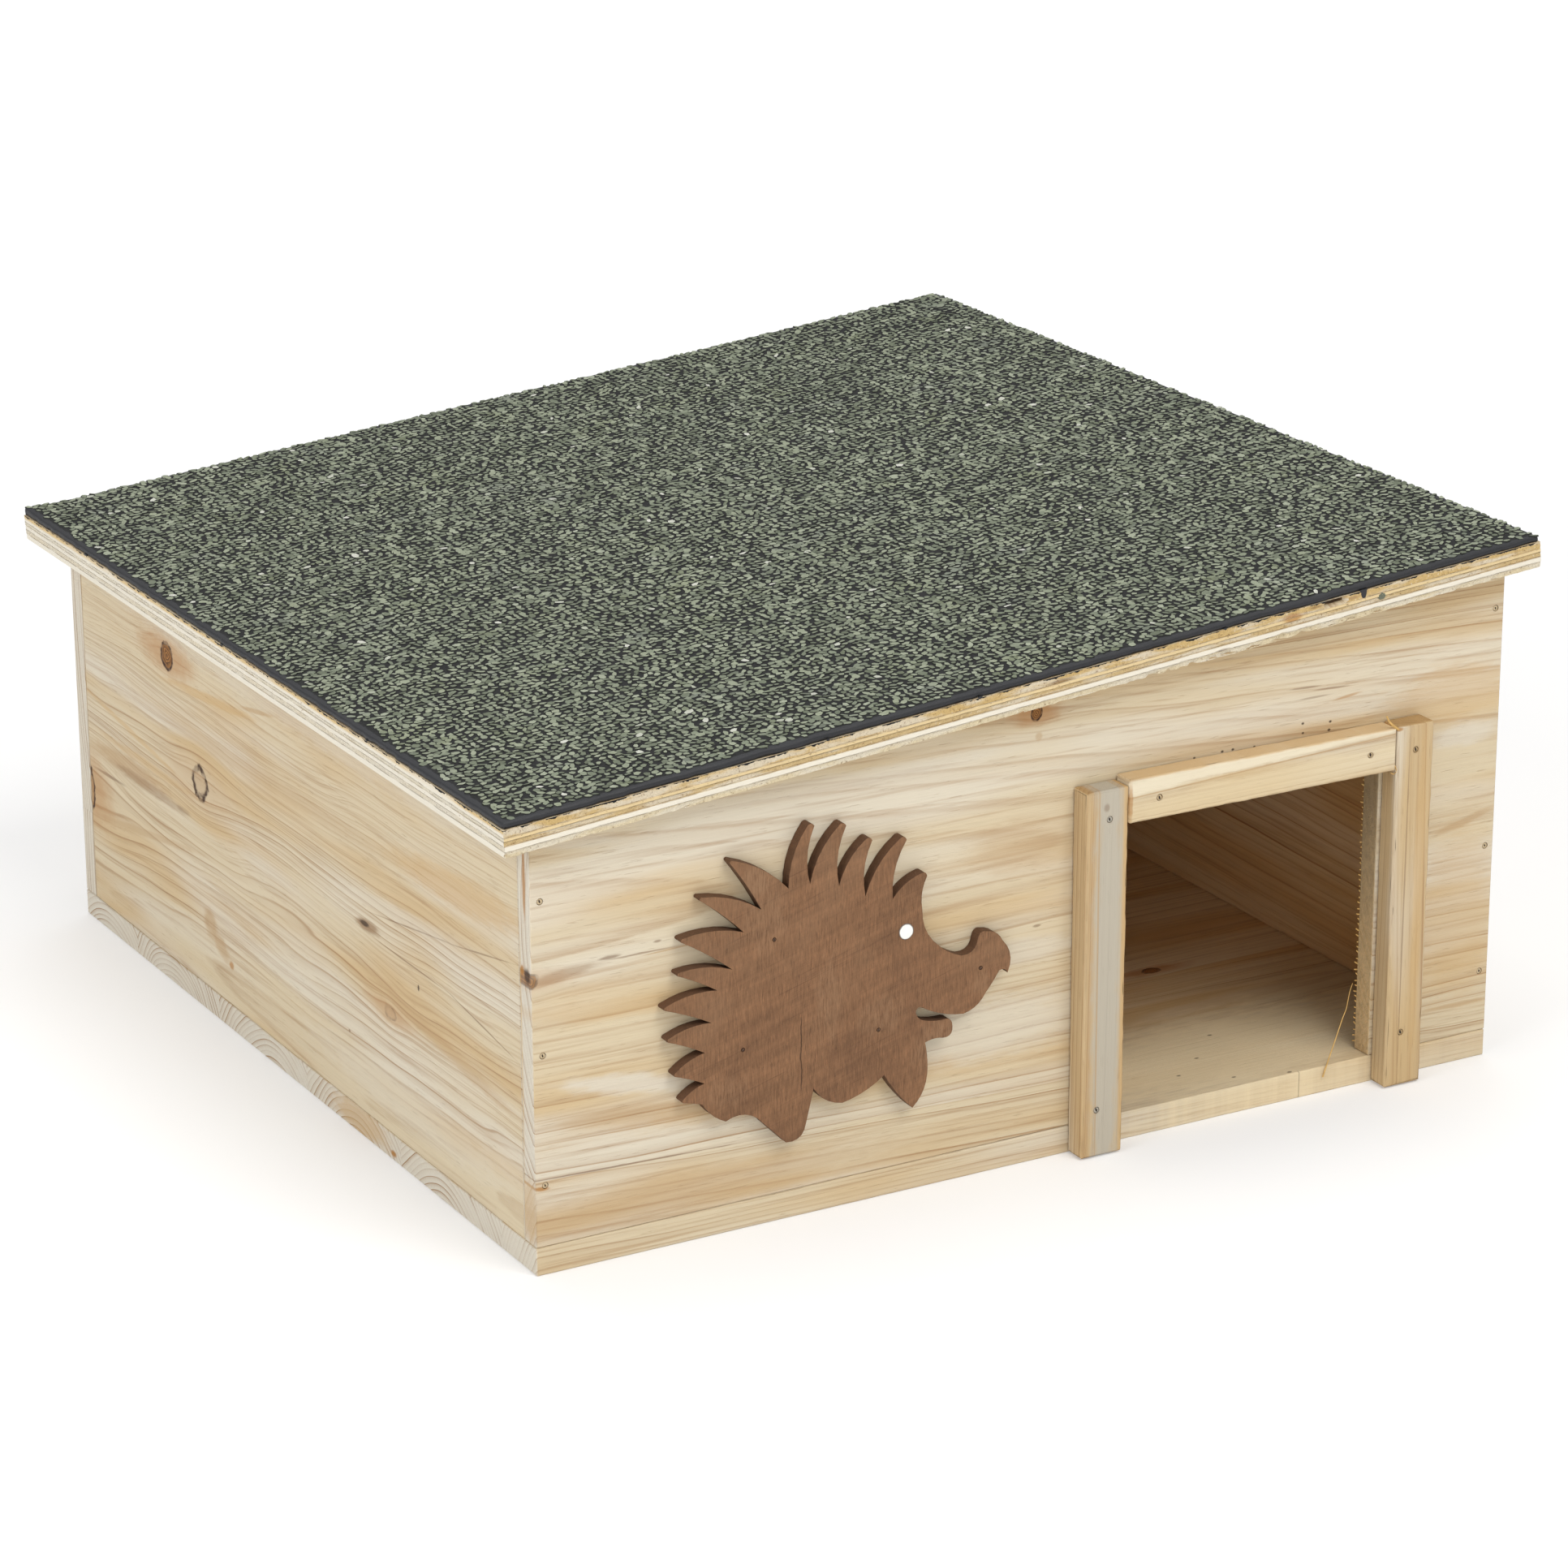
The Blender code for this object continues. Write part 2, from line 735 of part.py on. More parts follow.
def add_hinge_pin(name, middle_y, place):
    """Pin with a small head at each end of the barrel."""
    half = hinge_length / 2 + seam_gap
    end = half + hinge_pin_head_length
    profile = [
        (0.0, end),
        (hinge_pin_head_radius, end),
        (hinge_pin_head_radius, half),
        (hinge_pin_radius, half),
        (hinge_pin_radius, -half),
        (hinge_pin_head_radius, -half),
        (hinge_pin_head_radius, -end),
        (0.0, -end),
    ]
    pin_place = dict(place, location=(0.0, middle_y, 0.0), rotation=(pi / 2, 0.0, 0.0))
    return add_turned(name, profile, barrel_facets, pin_place, steel_material(name))


def house_leaf(middle_y, place, cutters):
    """Housing across the high wall's top edge that takes a closed roof leaf."""
    leaf_low = hinge_barrel_radius - hinge_leaf_thickness
    inner_end = pin_out + wall_thickness + cut_overrun
    return add_box(f"leaf_housing_{middle_y:.3f}",
                   (-inner_end, middle_y - hinge_length / 2 - drill_gap, leaf_low - drill_gap),
                   (0.0, middle_y + hinge_length / 2 + drill_gap, hinge_barrel_radius + cut_overrun),
                   dict(place, collection=cutters))


def add_hinge(end_name, middle_y, wall_place, roof_place, cutters, right_wall, roof_board):
    """One butt hinge: wall leaf, roof leaf, pin and four screws, let into the high wall."""
    wall_leaf = add_wall_leaf(f"{end_name}_hinge_wall_leaf", middle_y, wall_place, cutters)
    roof_leaf = add_roof_leaf(f"{end_name}_hinge_roof_leaf", middle_y, roof_place, cutters)
    add_hinge_pin(f"{end_name}_hinge_pin", middle_y, wall_place)
    cut(right_wall, house_leaf(middle_y, roof_place, cutters))
    leaf_face = hinge_barrel_radius - hinge_leaf_thickness
    for number, side in ((1, -1), (2, 1)):
        y = middle_y + side * hinge_screw_pitch / 2
        wall_screw = dict(wall_place, location=(-leaf_face, y, -hinge_screw_row), rotation=(0.0, pi / 2, 0.0))
        drive_screw(f"{end_name}_hinge_wall_screw_{number}", wall_screw, [wall_leaf, right_wall], cutters)
        roof_screw = dict(roof_place, location=(-hinge_screw_row, y, leaf_face), rotation=(pi, 0.0, 0.0))
        drive_screw(f"{end_name}_hinge_roof_screw_{number}", roof_screw, [roof_leaf, roof_board], cutters)


def build_house():
    """Build the whole house."""
    clear_scene()
    parts = make_collection("hedgehog_house")
    cutters = make_collection("cutters")
    house = make_empty("house_corner", (-middle_x, -middle_y, 0.0), (0.0, 0.0, 0.0), None, parts)
    pin_z = underside_height(pin_x) - pin_drop / cos(roof_slope)
    pin_line = make_empty("hinge_line", (pin_x, 0.0, pin_z), (0.0, 0.0, 0.0), house, parts)
    roof = make_empty("roof_turn", (0.0, 0.0, 0.0), (0.0, -roof_slope, 0.0), pin_line, parts)
    in_house = {"parent": house, "collection": parts}
    at_pin = {"parent": pin_line, "collection": parts}
    on_roof = {"parent": roof, "collection": parts}

    floor = add_floor(in_house)
    front_panel = add_front_panel(in_house)
    back_panel = add_back_panel(in_house)
    left_wall = add_inner_wall("left_side_wall", 0.0, in_house)
    right_wall = add_inner_wall("right_side_wall", house_width - wall_thickness, in_house)
    partition = add_partition(in_house, cutters)
    add_entrance_trim(in_house, cutters, front_panel)
    add_hedgehog(in_house, cutters, front_panel)
    nail_panel_ends("front_panel", front_panel, nail_sink, pi / 2, left_wall, right_wall, in_house, cutters)
    nail_panel_ends("back_panel", back_panel, house_depth - nail_sink, -pi / 2, left_wall, right_wall,
                    in_house, cutters)
    nail_floor(floor, left_wall, right_wall, in_house, cutters)
    nail_partition(back_panel, partition, in_house, cutters)

    roof_board = add_roof_board(on_roof)
    add_roof_felt(on_roof)
    for end_name, y in (("front", hinge_end_distance), ("rear", house_depth - hinge_end_distance)):
        add_hinge(end_name, y, at_pin, on_roof, cutters, right_wall, roof_board)


build_house()
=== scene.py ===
"""Dresses the solids of a wooden hedgehog house with worked edges, a felted roof and procedural finishes."""

import json
import math

import bmesh
import bpy
from mathutils import Matrix, Vector, noise

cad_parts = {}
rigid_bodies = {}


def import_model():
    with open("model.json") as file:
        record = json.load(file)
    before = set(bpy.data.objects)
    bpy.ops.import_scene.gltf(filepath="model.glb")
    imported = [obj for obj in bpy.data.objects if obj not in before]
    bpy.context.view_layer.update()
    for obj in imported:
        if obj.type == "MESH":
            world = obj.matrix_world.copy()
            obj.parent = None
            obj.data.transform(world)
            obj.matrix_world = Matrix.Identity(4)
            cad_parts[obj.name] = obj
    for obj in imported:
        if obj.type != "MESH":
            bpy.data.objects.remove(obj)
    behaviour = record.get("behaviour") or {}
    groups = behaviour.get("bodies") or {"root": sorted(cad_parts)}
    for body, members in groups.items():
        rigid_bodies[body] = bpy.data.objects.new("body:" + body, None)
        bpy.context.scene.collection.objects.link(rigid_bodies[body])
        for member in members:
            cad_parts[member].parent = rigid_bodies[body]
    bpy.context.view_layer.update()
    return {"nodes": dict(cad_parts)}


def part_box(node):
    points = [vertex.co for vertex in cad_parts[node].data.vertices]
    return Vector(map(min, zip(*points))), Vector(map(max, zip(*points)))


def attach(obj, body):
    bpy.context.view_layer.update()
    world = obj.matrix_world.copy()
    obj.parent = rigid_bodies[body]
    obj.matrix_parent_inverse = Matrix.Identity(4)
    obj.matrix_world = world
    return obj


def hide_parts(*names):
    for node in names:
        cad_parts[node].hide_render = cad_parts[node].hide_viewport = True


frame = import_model()

bl_info = {
    "name": "Hedgehog House",
    "version": (1, 0, 0),
    "blender": (4, 5, 0),
    "location": "View3D > Sidebar > Hedgehog House",
    "description": "Builds the boards, felted roof, figure and finishes of a wooden hedgehog house",
    "category": "Object",
}

MM = 0.001
MERGE = 0.00001
FLAT = math.radians(0.5)
SHARP = math.radians(40.0)
NOISE_SEED = 1

# The lower left front corner of the front panel, seen from the middle of the house.
CORNER = Vector((-0.2220825, -0.22795, 0.0))

# Roof
PIN = Vector((0.230818, 0.0, 0.214037))
ROOF_SLOPE = math.atan2(0.0384, 0.450)
ROOF_PLACE = Matrix.Translation(PIN) @ Matrix.Rotation(-ROOF_SLOPE, 4, "Y")
ROOF_PLACE_BACK = ROOF_PLACE.inverted()

# Camera, from the photograph's vanishing lines
LENS = 116.91
SENSOR = 36.0
CAMERA_PLACE = Vector((-1.01431, -1.82500, 0.82643))
AZIMUTH = math.radians(-29.446)
ELEVATION = math.radians(19.377)
ROLL = math.radians(0.146)


# Shades of features of the wood, on a screen's scale of 0 to 255
HONEY, AMBER, TAN, WHITISH = (192, 158, 108), (166, 116, 56), (174, 142, 102), (210, 203, 188)
BROWN, DARK, STRAW, GREY = (108, 76, 50), (52, 34, 24), (196, 158, 92), (177, 171, 157)
FLAME, SAWN = (142, 112, 80), (200, 168, 118)
# The bright sill shade is painted light: it lightens the floor just inside the entrance.
PALE_SILL, PALE_UPPER, SILL_PAINTED_LIGHT = (216, 199, 164), (222, 211, 186), (228, 210, 174)
# Gain of the three colours on the inner faces of the house: a painted warm tint for the reddish shade inside
# it
INNER_SHADE_TINT = (1.24, 1.00, 0.77)
# How far from the lower left front corner, in millimetres, an end counts as the near one
END_REACH = 30.0
NOWHERE = 9000.0


def tint(red, green, blue):
    """Linear colour of a shade given on a screen's scale of 0 to 255."""
    shades = [value / 255.0 for value in (red, green, blue)]
    return tuple(s / 12.92 if s <= 0.04045 else ((s + 0.055) / 1.055) ** 2.4 for s in shades)


def colour_property(label, what, shade):
    """Colour that a user may change."""
    return bpy.props.FloatVectorProperty(name=label, description=what, subtype="COLOR", size=3,
                                         min=0.0, max=1.0, default=tint(*shade))


def length_property(label, what, millimetres):
    """Length that a user may change."""
    return bpy.props.FloatProperty(name=label, description=what, default=millimetres * MM,
                                   min=0.0, unit="LENGTH", subtype="DISTANCE", precision=5)


class HouseSizes(bpy.types.PropertyGroup):
    """Sizes of the worked detail."""
    edge_round: length_property("Edge round", "Radius worked along the boards' edges", 0.2)
    batten_round: length_property("Batten round", "Radius along the battens' edges", 0.7)
    figure_round: length_property("Figure round", "Radius along the figure's outline", 0.4)
    torn_depth: length_property("Torn depth", "Deepest tear in the roof board's lower edge", 1.6)
    felt_margin: length_property("Felt margin", "Bare bitumen along the felt's edges", 4.4)
    flake_length: length_property("Flake length", "Usual length of a slate flake", 4.5)
    flake_spacing: length_property("Flake spacing", "Least distance between two flakes", 2.85)
    eye_radius: length_property("Eye radius", "Radius of the painted eye", 3.3)
    floor_size: bpy.props.FloatProperty(name="Floor size", description="Width of the studio floor",
                                        default=40.0, min=1.0, unit="LENGTH")


class HouseColours(bpy.types.PropertyGroup):
    """Colours of the finishes."""
    pale_wood: colour_property("Pale wood", "Early wood of the boards", (203, 188, 159))
    white_wood: colour_property("White wood", "Bleached areas of the boards", (209, 201, 184))
    warm_wood: colour_property("Warm wood", "Honey areas of the boards", (194, 166, 122))
    late_wood: colour_property("Late wood", "Dark side of each growth ring", (150, 112, 72))
    batten_wood: colour_property("Batten wood", "Early wood of the battens", (192, 168, 130))
    knot_core: colour_property("Knot core", "Heart of a knot", (58, 34, 20))
    knot_halo: colour_property("Knot halo", "Resin round a knot", (168, 116, 60))
    stain: colour_property("Stain", "Stained face of the figure", (123, 89, 62))
    stain_dark: colour_property("Dark stain", "Grain and edges of the figure", (64, 42, 31))
    stain_worn: colour_property("Worn stain", "Worn places of the figure", (140, 108, 80))
    eye_paint: colour_property("Eye paint", "Paint of the eye", (236, 236, 230))
    bitumen: colour_property("Bitumen", "Bitumen at the felt's edges", (27, 28, 32))
    flake_dark: colour_property("Dark flake", "Darkest slate flakes", (92, 98, 81))
    flake_pale: colour_property("Pale flake", "Palest slate flakes", (142, 148, 127))
    ply_face: colour_property("Face ply", "Outer plies of the roof board", (200, 171, 116))
    ply_white: colour_property("White ply", "Long-grain plies of the roof board", (221, 214, 198))
    ply_dark: colour_property("Dark ply", "Cross-grain ply in the middle", (202, 177, 130))
    zinc: colour_property("Zinc", "Plated hinges", (176, 178, 182))
    nail: colour_property("Nail", "Nail heads", (48, 38, 32))
    studio: colour_property("Studio", "Studio floor and light", (221, 221, 221))


def sizes():
    """Sizes chosen for this scene."""
    return bpy.context.scene.hedgehog_house_sizes


def colours():
    """Colours chosen for this scene."""
    return bpy.context.scene.hedgehog_house_colours


def house(x, y, z):
    """Point given in millimetres from the lower left front corner."""
    return CORNER + Vector((x, y, z)) * MM


# Shader nodes

class Value:
    """Output of a node that takes part in sums as a number does."""

    def __init__(self, socket):
        self.socket = socket
        self.tree = socket.id_data

    def __add__(self, other):
        return calc("ADD", self, other)

    def __sub__(self, other):
        return calc("SUBTRACT", self, other)

    def __rsub__(self, other):
        return calc("SUBTRACT", other, self)

    def __mul__(self, other):
        return calc("MULTIPLY", self, other)

    def __truediv__(self, other):
        return calc("DIVIDE", self, other)

    def __abs__(self):
        return calc("ABSOLUTE", self)


def feed(socket, value):
    """Links a socket to a node's output, or sets its value."""
    if isinstance(value, Value):
        value.tree.links.new(value.socket, socket)
    elif socket.type == "RGBA":
        socket.default_value = (*tuple(value)[:3], 1)
    else:
        socket.default_value = value


def add_node(tree, kind, feeds=None, **settings):
    """Adds a node with its settings and its inputs. Underscores in an input's name stand for spaces."""
    node = tree.nodes.new(kind)
    for key, value in settings.items():
        setattr(node, key, value)
    for key, value in (feeds or {}).items():
        feed(node.inputs[key.replace("_", " ") if isinstance(key, str) else key], value)
    return node


def tree_of(values):
    """Tree that holds the first node's output among the values."""
    return next(value.tree for value in values if isinstance(value, Value))


def result(kind, feeds, output=0, **settings):
    """Output of a new node, in the tree of what it is fed with."""
    return Value(add_node(tree_of(feeds.values()), kind, feeds, **settings).outputs[output])


def calc(operation, *values):
    """Result of a Math node."""
    return result("ShaderNodeMath", dict(enumerate(values)), operation=operation)


def muladd(value, factor, more):
    """Value times a factor, and more added."""
    return calc("MULTIPLY_ADD", value, factor, more)


def rise(value, low, high):
    """Smooth step from 0 at low to 1 at high."""
    feeds = {"Value": value, "From Min": low, "From Max": high}
    return result("ShaderNodeMapRange", feeds, interpolation_type="SMOOTHSTEP")


def spread(value, low, high):
    """Value from 0 to 1 spread over low to high."""
    return muladd(value, high - low, low)


def blend(factor, first, second, mode="MIX"):
    """Two colours mixed."""
    return result("ShaderNodeMix", {0: factor, 6: first, 7: second}, 2,
                  data_type="RGBA", blend_type=mode, clamp_factor=True)


def vector(x, y, z):
    """Three values as a vector."""
    return result("ShaderNodeCombineXYZ", {0: x, 1: y, 2: z})


def split(value, kind="XYZ"):
    """Three parts of a vector or of a colour."""
    return [Value(part) for part in add_node(value.tree, f"ShaderNodeSeparate{kind}", {0: value}).outputs]


def length_of(first, second):
    """Length of the slanted side over two square ones."""
    return calc("SQRT", first * first + second * second)


def cloud(place, scale, detail=2, rough=0.5, shift=0):
    """Noise round 0.5 at a place in millimetres, scaled along each axis."""
    feeds = {0: place, 1: scale, 2: (shift, shift * 0.7, shift * 0.4)}
    scaled = result("ShaderNodeVectorMath", feeds, operation="MULTIPLY_ADD")
    feeds = {"Vector": scaled, "Scale": 1, "Detail": detail, "Roughness": rough}
    return result("ShaderNodeTexNoise", feeds)


def shade_of(factor, colour, amount):
    """Colour made lighter or darker by a factor round 0.5."""
    gain = spread(factor, 1 - amount, 1 + amount)
    return result("ShaderNodeVectorMath", {0: colour, 3: gain}, operation="SCALE")


def ramp(factor, places, shades, constant=False):
    """Colour ramp with the given places and colours."""
    node = add_node(factor.tree, "ShaderNodeValToRGB", {0: factor})
    band = node.color_ramp
    band.interpolation = "CONSTANT" if constant else "LINEAR"
    while len(band.elements) < len(places):
        band.elements.new(1)
    for element, place in zip(band.elements, places):
        element.position = place
    for element, shade in zip(band.elements, shades):
        element.color = (*tuple(shade)[:3], 1)
    return Value(node.outputs[0])


def make_group(name, inputs, outputs, build):
    """Shader node group built by a function from its input sockets."""
    tree = bpy.data.node_groups.new(name, "ShaderNodeTree")
    for label, default in inputs.items():
        kind = {float: "NodeSocketFloat", tuple: "NodeSocketColor"}.get(type(default), "NodeSocketVector")
        socket = tree.interface.new_socket(name=label, in_out="INPUT", socket_type=kind)
        if kind == "NodeSocketFloat":
            socket.default_value = default
        elif kind == "NodeSocketColor":
            socket.default_value = (*default, 1)
    for label, kind in outputs.items():
        tree.interface.new_socket(name=label, in_out="OUTPUT", socket_type=kind)
    entry = add_node(tree, "NodeGroupInput").outputs
    add_node(tree, "NodeGroupOutput", build({label: Value(entry[label]) for label in inputs}))


def use_group(name, **feeds):
    """Outputs of a node group by their names."""
    node = add_node(tree_of(feeds.values()), "ShaderNodeGroup")
    node.node_tree = bpy.data.node_groups[name]
    for label, value in feeds.items():
        feed(node.inputs[label.replace("_", " ")], value)
    return {socket.name: Value(socket) for socket in node.outputs}


def build_softwood(given):
    """Growth rings round a pith that wanders along the board, fine fibres, and slow changes of colour."""
    along, across, depth, seed = (given[key] for key in ("Along", "Across", "Depth", "Seed"))
    boards = (across - given["Offset"] - along * given["Lean"]) / given["Lamella"]
    board = calc("FLOOR", boards)
    inside = calc("FRACT", boards) - 0.5
    key = muladd(board, 7.31, seed)
    chance = result("ShaderNodeTexWhiteNoise", {"W": key}, 1, noise_dimensions="1D")
    red, green, blue = split(chance, "Color")
    shift = key * 3.7
    place = vector(along + shift * 41, across + shift * 17, depth)
    slow = cloud(place, (0.0042, 0.021, 0.021), 2) - 0.5
    quick = cloud(place, (0.016, 0.1, 0.1), 2, shift=5) - 0.5
    sway = muladd(quick, given["Wander"] * 0.08, slow * given["Wander"])
    aside = muladd(inside, given["Lamella"], sway) - given["Pith Across"]
    aside = muladd(red - 0.5, given["Pith Spread"], aside)
    deep = muladd(green + 0.5, given["Pith Depth"], depth)
    radius = muladd(along, 0.012, length_of(aside, deep))
    slack = cloud(vector(radius, key, 0), (0.06, 1, 1), 3)
    radius = muladd(slack, 7, radius)
    years = radius / given["Spacing"]
    part = calc("FRACT", years)
    year = calc("FLOOR", years) + key * 1.9
    luck = result("ShaderNodeTexWhiteNoise", {"W": year}, noise_dimensions="1D")
    soft = rise(part, 0.2, 0.92) * rise(part, 1, 0.93)
    line = rise(part, 0.82, 0.93) * rise(part, 1, 0.96)
    ring = muladd(soft, 0.36, line * 0.64)
    ring = ring * spread(calc("POWER", luck, 1.3), 0.15, 1)
    fade = rise(cloud(place, (0.006, 0.03, 0.03), 2, shift=11), 0.25, 0.62)
    ring = ring * spread(fade, 0.35, 1)
    fibre = cloud(place, (0.022, 1.5, 1.5), 4, 0.62, shift=3)
    strand = cloud(place, (0.011, 0.42, 0.42), 3, 0.6, shift=23)
    pores = rise(cloud(place, (0.1, 2.1, 2.1), 2, shift=31), 0.66, 0.76)
    honey = rise(cloud(place, (0.0055, 0.04, 0.04), 2, shift=47), 0.44, 0.66)
    bleached = rise(cloud(place, (0.0045, 0.032, 0.032), 2, shift=59), 0.48, 0.66)
    colour = blend(honey * 0.75, given["Pale"], given["Warm"])
    colour = blend(bleached * 0.8, colour, given["White"])
    colour = blend(ring * given["Lines"], colour, given["Late"])
    close = calc("FRACT", years * 1.83)
    close = rise(close, 0.55, 0.9) * rise(close, 1, 0.94)
    close = close * rise(strand, 0.4, 0.56)
    colour = blend(close * 0.26, colour, given["Late"])
    colour = blend(rise(strand, 0.52, 0.78) * 0.42, colour, given["Late"])
    colour = blend(pores * 0.3, colour, given["Late"])
    colour = shade_of(fibre, colour, 0.09)
    colour = shade_of(blue, colour, 0.025)
    seam = rise((0.5 - abs(inside)) * given["Lamella"], 0.3, 0.06) * given["Seam"]
    colour = blend(seam, colour, given["Knot"])
    rough_end = cloud(place, (0.35, 1.1, 1.1), 4, 0.7, shift=71)
    end_colour = blend(ring * 1.5, given["End"], given["Late"])
    end_colour = shade_of(rough_end, end_colour, 0.13)
    colour = blend(given["Ends"] * 0.9, colour, end_colour)
    polish = spread(fibre, 0.62, 0.86)
    height = muladd(ring, -0.5, fibre * 0.9)
    height = muladd(pores, -0.5, height)
    height = muladd(seam, -1.2, height)
    height = muladd(rough_end * given["Ends"], 2, height)
    return {"Color": colour, "Roughness": polish, "Height": height}


def build_knot_flow(given):
    """Grain pushed aside round a knot: the place across the board as the rings see it."""
    side = given["Along"] - given["Knot Along"]
    gap = given["Across"] - given["Knot Across"]
    far = side / (given["Size"] * 4.2)
    near = gap / (given["Size"] * 2.1)
    reach = far * far + near * near
    pull = calc("EXPONENT", reach * -1) * 0.72
    return {"Across": muladd(gap, 1 - pull, given["Knot Across"])}


def build_knot(given):
    """Masks of a knot: its heart, its dark rim, the rings inside it and the resin round it."""
    place = vector(given["Along"], given["Across"], given["Size"] * 3)
    wobble = cloud(place, (0.16, 0.2, 1), 3) - 0.5
    side = (given["Along"] - given["Knot Along"]) / given["Length"]
    gap = (given["Across"] - given["Knot Across"]) / given["Size"]
    far = muladd(wobble, 0.85, length_of(side, gap))
    core = rise(far, 1, 0.82)
    rim = rise(far, 1.24, 1.04) * rise(far, 0.7, 0.98)
    broken = cloud(place, (0.3, 0.3, 1), 2, shift=8)
    rim = rim * spread(rise(broken, 0.34, 0.56), 0.45, 1)
    trail = calc("SQRT", side * side * 0.12 + gap * gap)
    halo = rise(muladd(wobble, 1.1, trail), 2.3, 0.7)
    rings = calc("FRACT", far * 3.4)
    return {"Core": core, "Rim": rim, "Halo": halo, "Rings": rings}


def build_patch(given):
    """Soft mark with an uneven edge, long in one direction and turned by its tilt."""
    side = given["Along"] - given["Middle Along"]
    gap = given["Across"] - given["Middle Across"]
    gap = muladd(side, given["Tilt"], gap)
    place = vector(given["Along"], given["Across"], given["Middle Along"])
    uneven = cloud(place, (0.08, 0.3, 0.1), 4, 0.6) - 0.5
    far = length_of(side / given["Length"], gap / given["Width"])
    far = muladd(uneven, given["Uneven"], far)
    return {"Mask": rise(far, 1.15, 0.45)}


def build_scuffs(given):
    """Slow unevenness and fine specks of handling, shared by the hard finishes."""
    place = given["Place"]
    slow = cloud(place, (0.03, 0.03, 0.03), 3)
    specks = rise(cloud(place, (0.9, 0.9, 0.9), 3, 0.7, shift=9), 0.62, 0.74)
    streak = cloud(place, (0.9, 0.05, 0.9), 3, 0.6, shift=15)
    return {"Slow": slow, "Specks": specks, "Streak": streak}


def make_groups():
    """All shader node groups of the scene."""
    value, colour = "NodeSocketFloat", "NodeSocketColor"
    spot = {"Along": 0.0, "Across": 0.0}
    make_group("softwood", {**spot, "Depth": 0.0, "Seed": 0.0, "Spacing": 3.2, "Wander": 16.0,
                            "Pith Across": 0.0, "Pith Spread": 40.0, "Pith Depth": 60.0, "Lamella": 900.0,
                            "Offset": -100.0, "Lean": 0.0, "Lines": 0.8, "Ends": 0.0,
                            "Pale": (0.8, 0.7, 0.5), "White": (0.8, 0.8, 0.7), "Warm": (0.7, 0.5, 0.3),
                            "Late": (0.5, 0.3, 0.2), "Knot": (0.1, 0.05, 0.03),
                            "End": (0.6, 0.5, 0.4), "Seam": 0.4},
               {"Color": colour, "Roughness": value, "Height": value}, build_softwood)
    make_group("knot_flow", {**spot, "Knot Along": 0.0, "Knot Across": 0.0, "Size": 5.0},
               {"Across": value}, build_knot_flow)
    make_group("knot", {**spot, "Knot Along": 0.0, "Knot Across": 0.0, "Length": 5.0, "Size": 5.0},
               {"Core": value, "Rim": value, "Halo": value, "Rings": value}, build_knot)
    make_group("patch", {**spot, "Middle Along": 0.0, "Middle Across": 0.0, "Length": 20.0, "Width": 4.0,
                         "Tilt": 0.0, "Uneven": 0.9}, {"Mask": value}, build_patch)
    make_group("scuffs", {"Place": None}, {"Slow": value, "Specks": value, "Streak": value}, build_scuffs)


def new_material(name):
    """Material with a Principled shader, and its tree."""
    material = bpy.data.materials.new(name)
    material.use_nodes = True
    tree = material.node_tree
    tree.nodes.clear()
    shader = add_node(tree, "ShaderNodeBsdfPrincipled")
    tree.links.new(shader.outputs[0], add_node(tree, "ShaderNodeOutputMaterial").inputs[0])
    return material, tree


def finished(material, relief=None, **feeds):
    """Material whose shader is fed. The relief is a height, its distance in millimetres and its strength."""
    shader = material.node_tree.nodes["Principled BSDF"]
    for label, value in feeds.items():
        feed(shader.inputs[label.replace("_", " ")], value)
    if relief:
        height, distance, strength = relief
        feeds = {"Height": height, "Distance": distance * MM, "Strength": strength}
        feed(shader.inputs["Normal"], result("ShaderNodeBump", feeds))
    return material


def millimetres(tree, matrix=None):
    """Place from the lower left front corner, or in a frame of its own: three values and their vector."""
    source = Value(add_node(tree, "ShaderNodeTexCoord").outputs["Object"])
    back = matrix or Matrix.Translation(-CORNER)
    feeds = {"Vector": source, "Location": back.translation / MM, "Rotation": tuple(back.to_euler()),
             "Scale": (1 / MM,) * 3}
    place = result("ShaderNodeMapping", feeds)
    return *split(place), place


def normal_along(tree, axis):
    """Part of the surface's normal along an axis of the house."""
    return split(Value(add_node(tree, "ShaderNodeTexCoord").outputs["Normal"]))["XYZ".index(axis)]


def facing(tree, axis):
    """1 where the surface faces along an axis of the house, either way, and 0 where it lies along it."""
    return rise(abs(normal_along(tree, axis)), 0.55, 0.85)


def add_knots(colour, height, along, across, knots):
    """Colour and relief of a board with its knots."""
    shades = colours()
    for middle, level, length, size, core_strength, rim_strength, halo_strength in knots:
        masks = use_group("knot", Along=along, Across=across, Knot_Along=middle, Knot_Across=level,
                          Length=length, Size=size)
        colour = blend(masks["Halo"] * halo_strength, colour, shades.knot_halo)
        inner = blend(masks["Rings"], shades.knot_core, shades.knot_halo)
        colour = blend(masks["Core"] * core_strength, colour, inner)
        colour = blend(masks["Rim"] * rim_strength, colour, shades.knot_core)
        height = muladd(masks["Rim"], -1, height)
    return colour, height


def add_marks(colour, along, across, marks, within=1):
    """Colour of a board with its streaks and stains, kept within a mask."""
    for middle, level, length, width, tilt, shade, strength in marks:
        mask = use_group("patch", Along=along, Across=across, Middle_Along=middle, Middle_Across=level,
                         Length=length, Width=width, Tilt=tilt)["Mask"]
        colour = blend(mask * strength * within, colour, tint(*shade))
    return colour


